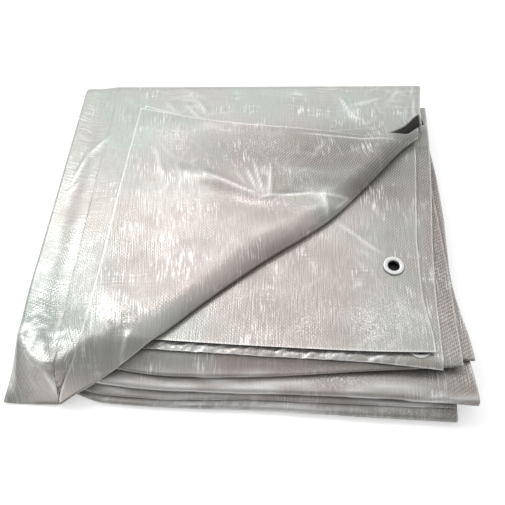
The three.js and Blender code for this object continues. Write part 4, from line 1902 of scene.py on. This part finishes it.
@dataclass
class Hem:
    """The doubled strip along the right edge of a loose ply, with its eyelet hole."""

    loose: Loose
    ply: float = 0.8
    hole: float = 6.9
    punch_depth: float = 12.0
    # Painted highlight, partly wear, on its edges, and painted shade on its underside
    edge_highlight_and_wear: float = 0.9
    underside_shade: float = 0.9
    stations: int = 22

    def build(self) -> Object:
        """Build the strip and cut its hole.

        Returns:
            The finished piece, not yet dressed.
        """
        upper = self.loose is Loose.UPPER
        right = FORM.panel_right if upper else FORM.under_right
        front = FORM.panel_front if upper else FORM.under_front
        across = np.linspace(0, 1, self.stations)
        run = shares_between(*(PANEL_RUN if upper else UNDER_RUN))
        front_x = right(FORM.hem_level) - FORM.hem_width * (1 - across)
        start = front(front_x)
        end = FORM.back_line(front_x) - BACK_INSETS[self.loose]
        y = rows_between(start, end, run)
        x = right(y) - FORM.hem_width * (1 - across[:, None])
        lift, crest = crease_lift(Place.PANEL if upper else Place.UNDER, x, y)
        grid = stack_xyz(x, y, ply_height(self.loose, x, y) + lift)
        # Painted highlight, partly wear, on the edges.
        crest[:, 0] = crest[-1] = self.edge_highlight_and_wear
        weave = np.stack([x, arc_lengths(grid, 1) + start[:, None]], axis=-1)
        # Painted shade: under the turned corner on the upper hem, under the panel on the lower hem,
        # and on the underside.
        if upper:
            ply_shade = smooth_step(1, 9, FORM.behind_crease(x, y))
        else:
            ply_shade = smooth_step(1, 9, y - FORM.panel_front(x))
            ply_shade = ply_shade * smooth_step(0, 4, FORM.panel_right(y) - x)
        below = np.full(ply_shade.shape, self.underside_shade)
        sheet = SheetGrid(grid, weave, self.ply, crest, ply_shade, below)
        made = sheet.write(f"hem_strip_{self.loose.value}")
        self.cut_hole(made)
        return made

    def cut_hole(self, made: Object) -> None:
        """Cut the eyelet hole through the strip.

        Args:
            made: The strip.
        """
        bpy.ops.object.select_all(action="DESELECT")
        bpy.ops.mesh.primitive_cylinder_add(
            vertices=48, radius=self.hole * MM, depth=self.punch_depth * MM
        )
        punch = bpy.context.object
        punch.data.transform(seat_matrix(self.loose))
        cut = made.modifiers.new("eyelet hole", "BOOLEAN")
        cut.operation = "DIFFERENCE"
        cut.object = punch
        cut.solver = "EXACT"
        bpy.ops.object.select_all(action="DESELECT")
        bpy.context.view_layer.objects.active = made
        made.select_set(True)
        bpy.ops.object.modifier_apply(modifier=cut.name)
        bpy.data.objects.remove(punch, do_unlink=True)

    def dress(self, made: Object, material: Material) -> None:
        """Dress the strip and hide the hem's model part."""
        dress_cloth(made, material)
        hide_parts(f"hem_{self.loose.value}")


@dataclass
class Eyelet:
    """A rolled aluminium eyelet with its washer, turned from one closed profile."""

    loose: Loose
    outer: float = 11.0
    bore: float = 6.0
    barrel: float = 6.7
    face: float = 1.0
    flange: float = 0.7
    crown: float = 0.4
    sides: int = 72

    def profile(self) -> list[Pair]:
        """List the rings of the profile, from the foot of the bore round the outside to its top.

        Returns:
            The radius and height of each ring.
        """
        rim = self.face + self.flange
        top = rim + self.crown
        return [
            (self.bore, -rim + 0.25),
            (self.bore + 0.3, -rim),
            (self.outer - 0.4, -rim),
            (self.outer, -rim + 0.2),
            (self.outer, -self.face - 0.1),
            (self.outer - 0.3, -self.face),
            (self.barrel, -self.face),
            (self.barrel, self.face),
            (self.outer - 0.3, self.face),
            (self.outer, self.face + 0.15),
            (self.outer - 0.05, self.face + 0.4),
            (self.outer - 0.35, top - 0.2),
            (self.outer - 0.9, top - 0.03),
            (self.outer - 1.6, top),
            (self.bore + 1.5, top - 0.05),
            (self.bore + 0.7, top - 0.16),
            (self.bore + 0.25, top - 0.4),
            (self.bore + 0.05, top - 0.8),
            (self.bore, top - 1.3),
        ]

    def build(self) -> Object:
        """Draw out the rings of the eyelet from one circle, close it and seat it.

        Returns:
            The finished piece, not yet dressed.
        """
        rings = self.profile()
        bpy.ops.object.select_all(action="DESELECT")
        bpy.ops.mesh.primitive_circle_add(
            vertices=self.sides, radius=rings[0][0] * MM, location=(0, 0, 0)
        )
        made = bpy.context.object
        made.name = f"eyelet_ring_{self.loose.value}"
        bpy.ops.object.mode_set(mode="EDIT")
        bpy.ops.mesh.select_all(action="SELECT")
        bpy.ops.transform.translate(value=(0, 0, rings[0][1] * MM))
        for before, after in zip(rings, [*rings[1:], rings[0]]):
            bpy.ops.mesh.extrude_edges_move()
            scale = after[0] / before[0]
            bpy.ops.transform.resize(value=(scale, scale, 1), center_override=(0, 0, 0))
            bpy.ops.transform.translate(value=(0, 0, (after[1] - before[1]) * MM))
        bpy.ops.mesh.select_all(action="SELECT")
        bpy.ops.mesh.remove_doubles(threshold=0.00001)
        bpy.ops.mesh.normals_make_consistent(inside=False)
        bpy.ops.object.mode_set(mode="OBJECT")
        made.data.transform(seat_matrix(self.loose))
        bpy.ops.object.shade_smooth_by_angle(angle=math.radians(40))
        return made

    def dress(self, made: Object, material: Material) -> None:
        """Dress the eyelet and hide its model part.

        Args:
            made: The piece that build returned.
            material: The eyelet's material.
        """
        made.data.materials.append(material)
        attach(made, BODY)
        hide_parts(f"eyelet_{self.loose.value}")


# Studio


@dataclass(frozen=True)
class SoftBox:
    """A soft box that faces the package: where it hangs, its size and its power in watts."""

    name: str
    place: tuple[float, float, float]
    size: Pair
    power: float

    def hang(self) -> None:
        """Hang the soft box."""
        data = bpy.data.lights.new(self.name, "AREA")
        data.shape = "RECTANGLE"
        data.size, data.size_y = self.size
        data.energy = self.power
        made = bpy.data.objects.new(self.name, data)
        made.location = self.place
        made.rotation_euler = (-Vector(self.place)).to_track_quat("-Z", "Y").to_euler()
        bpy.context.scene.collection.objects.link(made)


@dataclass
class Studio:
    """A white floor, a soft sky, soft boxes and a camera at the height and tilt of the picture."""

    camera_place: tuple[float, float, float] = (0.02265, -0.36765, 0.5444)
    pitch_deg: float = 58.0
    yaw_deg: float = 2.5
    focal_pixels: float = 560.0
    sensor_mm: float = 36.0
    floor_side: float = 8.0
    sky_way: tuple[float, float, float] = (-0.12, 0.72, 0.68)
    sky_rise: Pair = (0.2, 1.0)
    sky_strength: Pair = (0.3, 1.0)
    boxes: tuple[SoftBox, ...] = (
        SoftBox("wide_box", (-0.1, 1.5, 1.7), (2.6, 1.2), 3),
        SoftBox("left_key", (-0.95, 0.7, 1.5), (0.3, 0.6), 8.5),
        SoftBox("back_key", (-0.15, 1.05, 1.6), (0.4, 0.3), 2),
    )

    def build_camera(self) -> None:
        """Set up the camera, which looks down at the package from in front."""
        data = bpy.data.cameras.new("camera")
        data.sensor_width = self.sensor_mm
        data.sensor_fit = "HORIZONTAL"
        data.lens = self.focal_pixels / IMAGE_SIDE * self.sensor_mm
        data.clip_start = 0.01
        made = bpy.data.objects.new("camera", data)
        made.location = self.camera_place
        made.rotation_euler = (math.radians(90 - self.pitch_deg), 0, math.radians(self.yaw_deg))
        bpy.context.scene.collection.objects.link(made)
        bpy.context.scene.camera = made

    def build_floor(self) -> None:
        """Lay the plain floor."""
        bpy.ops.object.select_all(action="DESELECT")
        bpy.ops.mesh.primitive_plane_add(size=self.floor_side, location=(0, 0, 0))
        floor = bpy.context.object
        floor.name = "studio_floor"
        floor.data.materials.append(StudioPaper("studio_paper").make())

    def build_light(self) -> None:
        """Set the sky and hang the soft boxes."""
        world = bpy.data.worlds.new("studio_sky")
        world.use_nodes = True
        tree = world.node_tree
        background = tree.nodes["Background"]
        background.inputs["Color"].default_value = (1, 1, 1, 1)
        way = tree.nodes.new("ShaderNodeTexCoord")
        facing = tree.nodes.new("ShaderNodeVectorMath")
        facing.operation = "DOT_PRODUCT"
        facing.inputs[1].default_value = self.sky_way
        rise = tree.nodes.new("ShaderNodeMapRange")
        rise.interpolation_type = "SMOOTHSTEP"
        for socket, number in zip(list(rise.inputs)[1:5], (*self.sky_rise, *self.sky_strength)):
            socket.default_value = number
        tree.links.new(way.outputs["Generated"], facing.inputs[0])
        tree.links.new(facing.outputs["Value"], rise.inputs[0])
        tree.links.new(rise.outputs[0], background.inputs["Strength"])
        bpy.context.scene.world = world
        bpy.context.scene.view_settings.view_transform = "Standard"
        for box in self.boxes:
            box.hang()


def report(piece: Object) -> None:
    """Log the name of a finished piece and how many triangles it has."""
    piece.data.calc_loop_triangles()
    LOG.info("%s: %d triangles", piece.name, len(piece.data.loop_triangles))


def main() -> None:
    """Build the studio, the cloth, the hems and the eyelets, and dress them."""
    logging.basicConfig(level=logging.INFO, format="%(name)s: %(message)s")
    studio = Studio()
    studio.build_camera()
    studio.build_floor()
    studio.build_light()
    cloth = CoatedCloth("coated_cloth").make()
    hem_cloth = CoatedCloth("hem_cloth").make()
    metal = RolledAluminium("rolled_aluminium").make()

    trims: dict[Loose, list[Object]] = {}
    for loose in Loose:
        hem, eyelet = Hem(loose), Eyelet(loose)
        strip, ring = hem.build(), eyelet.build()
        hem.dress(strip, hem_cloth)
        eyelet.dress(ring, metal)
        trims[loose] = [strip, ring]
        report(strip)
        report(ring)

    stack = FoldedStack()
    piece = stack.build()
    stack.dress(piece, cloth, trims[Loose.LOWER])
    report(piece)

    cover = CoverPly()
    piece = cover.build()
    cover.dress(piece, cloth)
    report(piece)

    corner = TurnedCorner()
    piece, turned_back = corner.build(), corner.build_return()
    corner.dress(piece, turned_back, cloth, trims[Loose.UPPER])
    report(piece)
    report(turned_back)


if __name__ == "__main__":
    main()
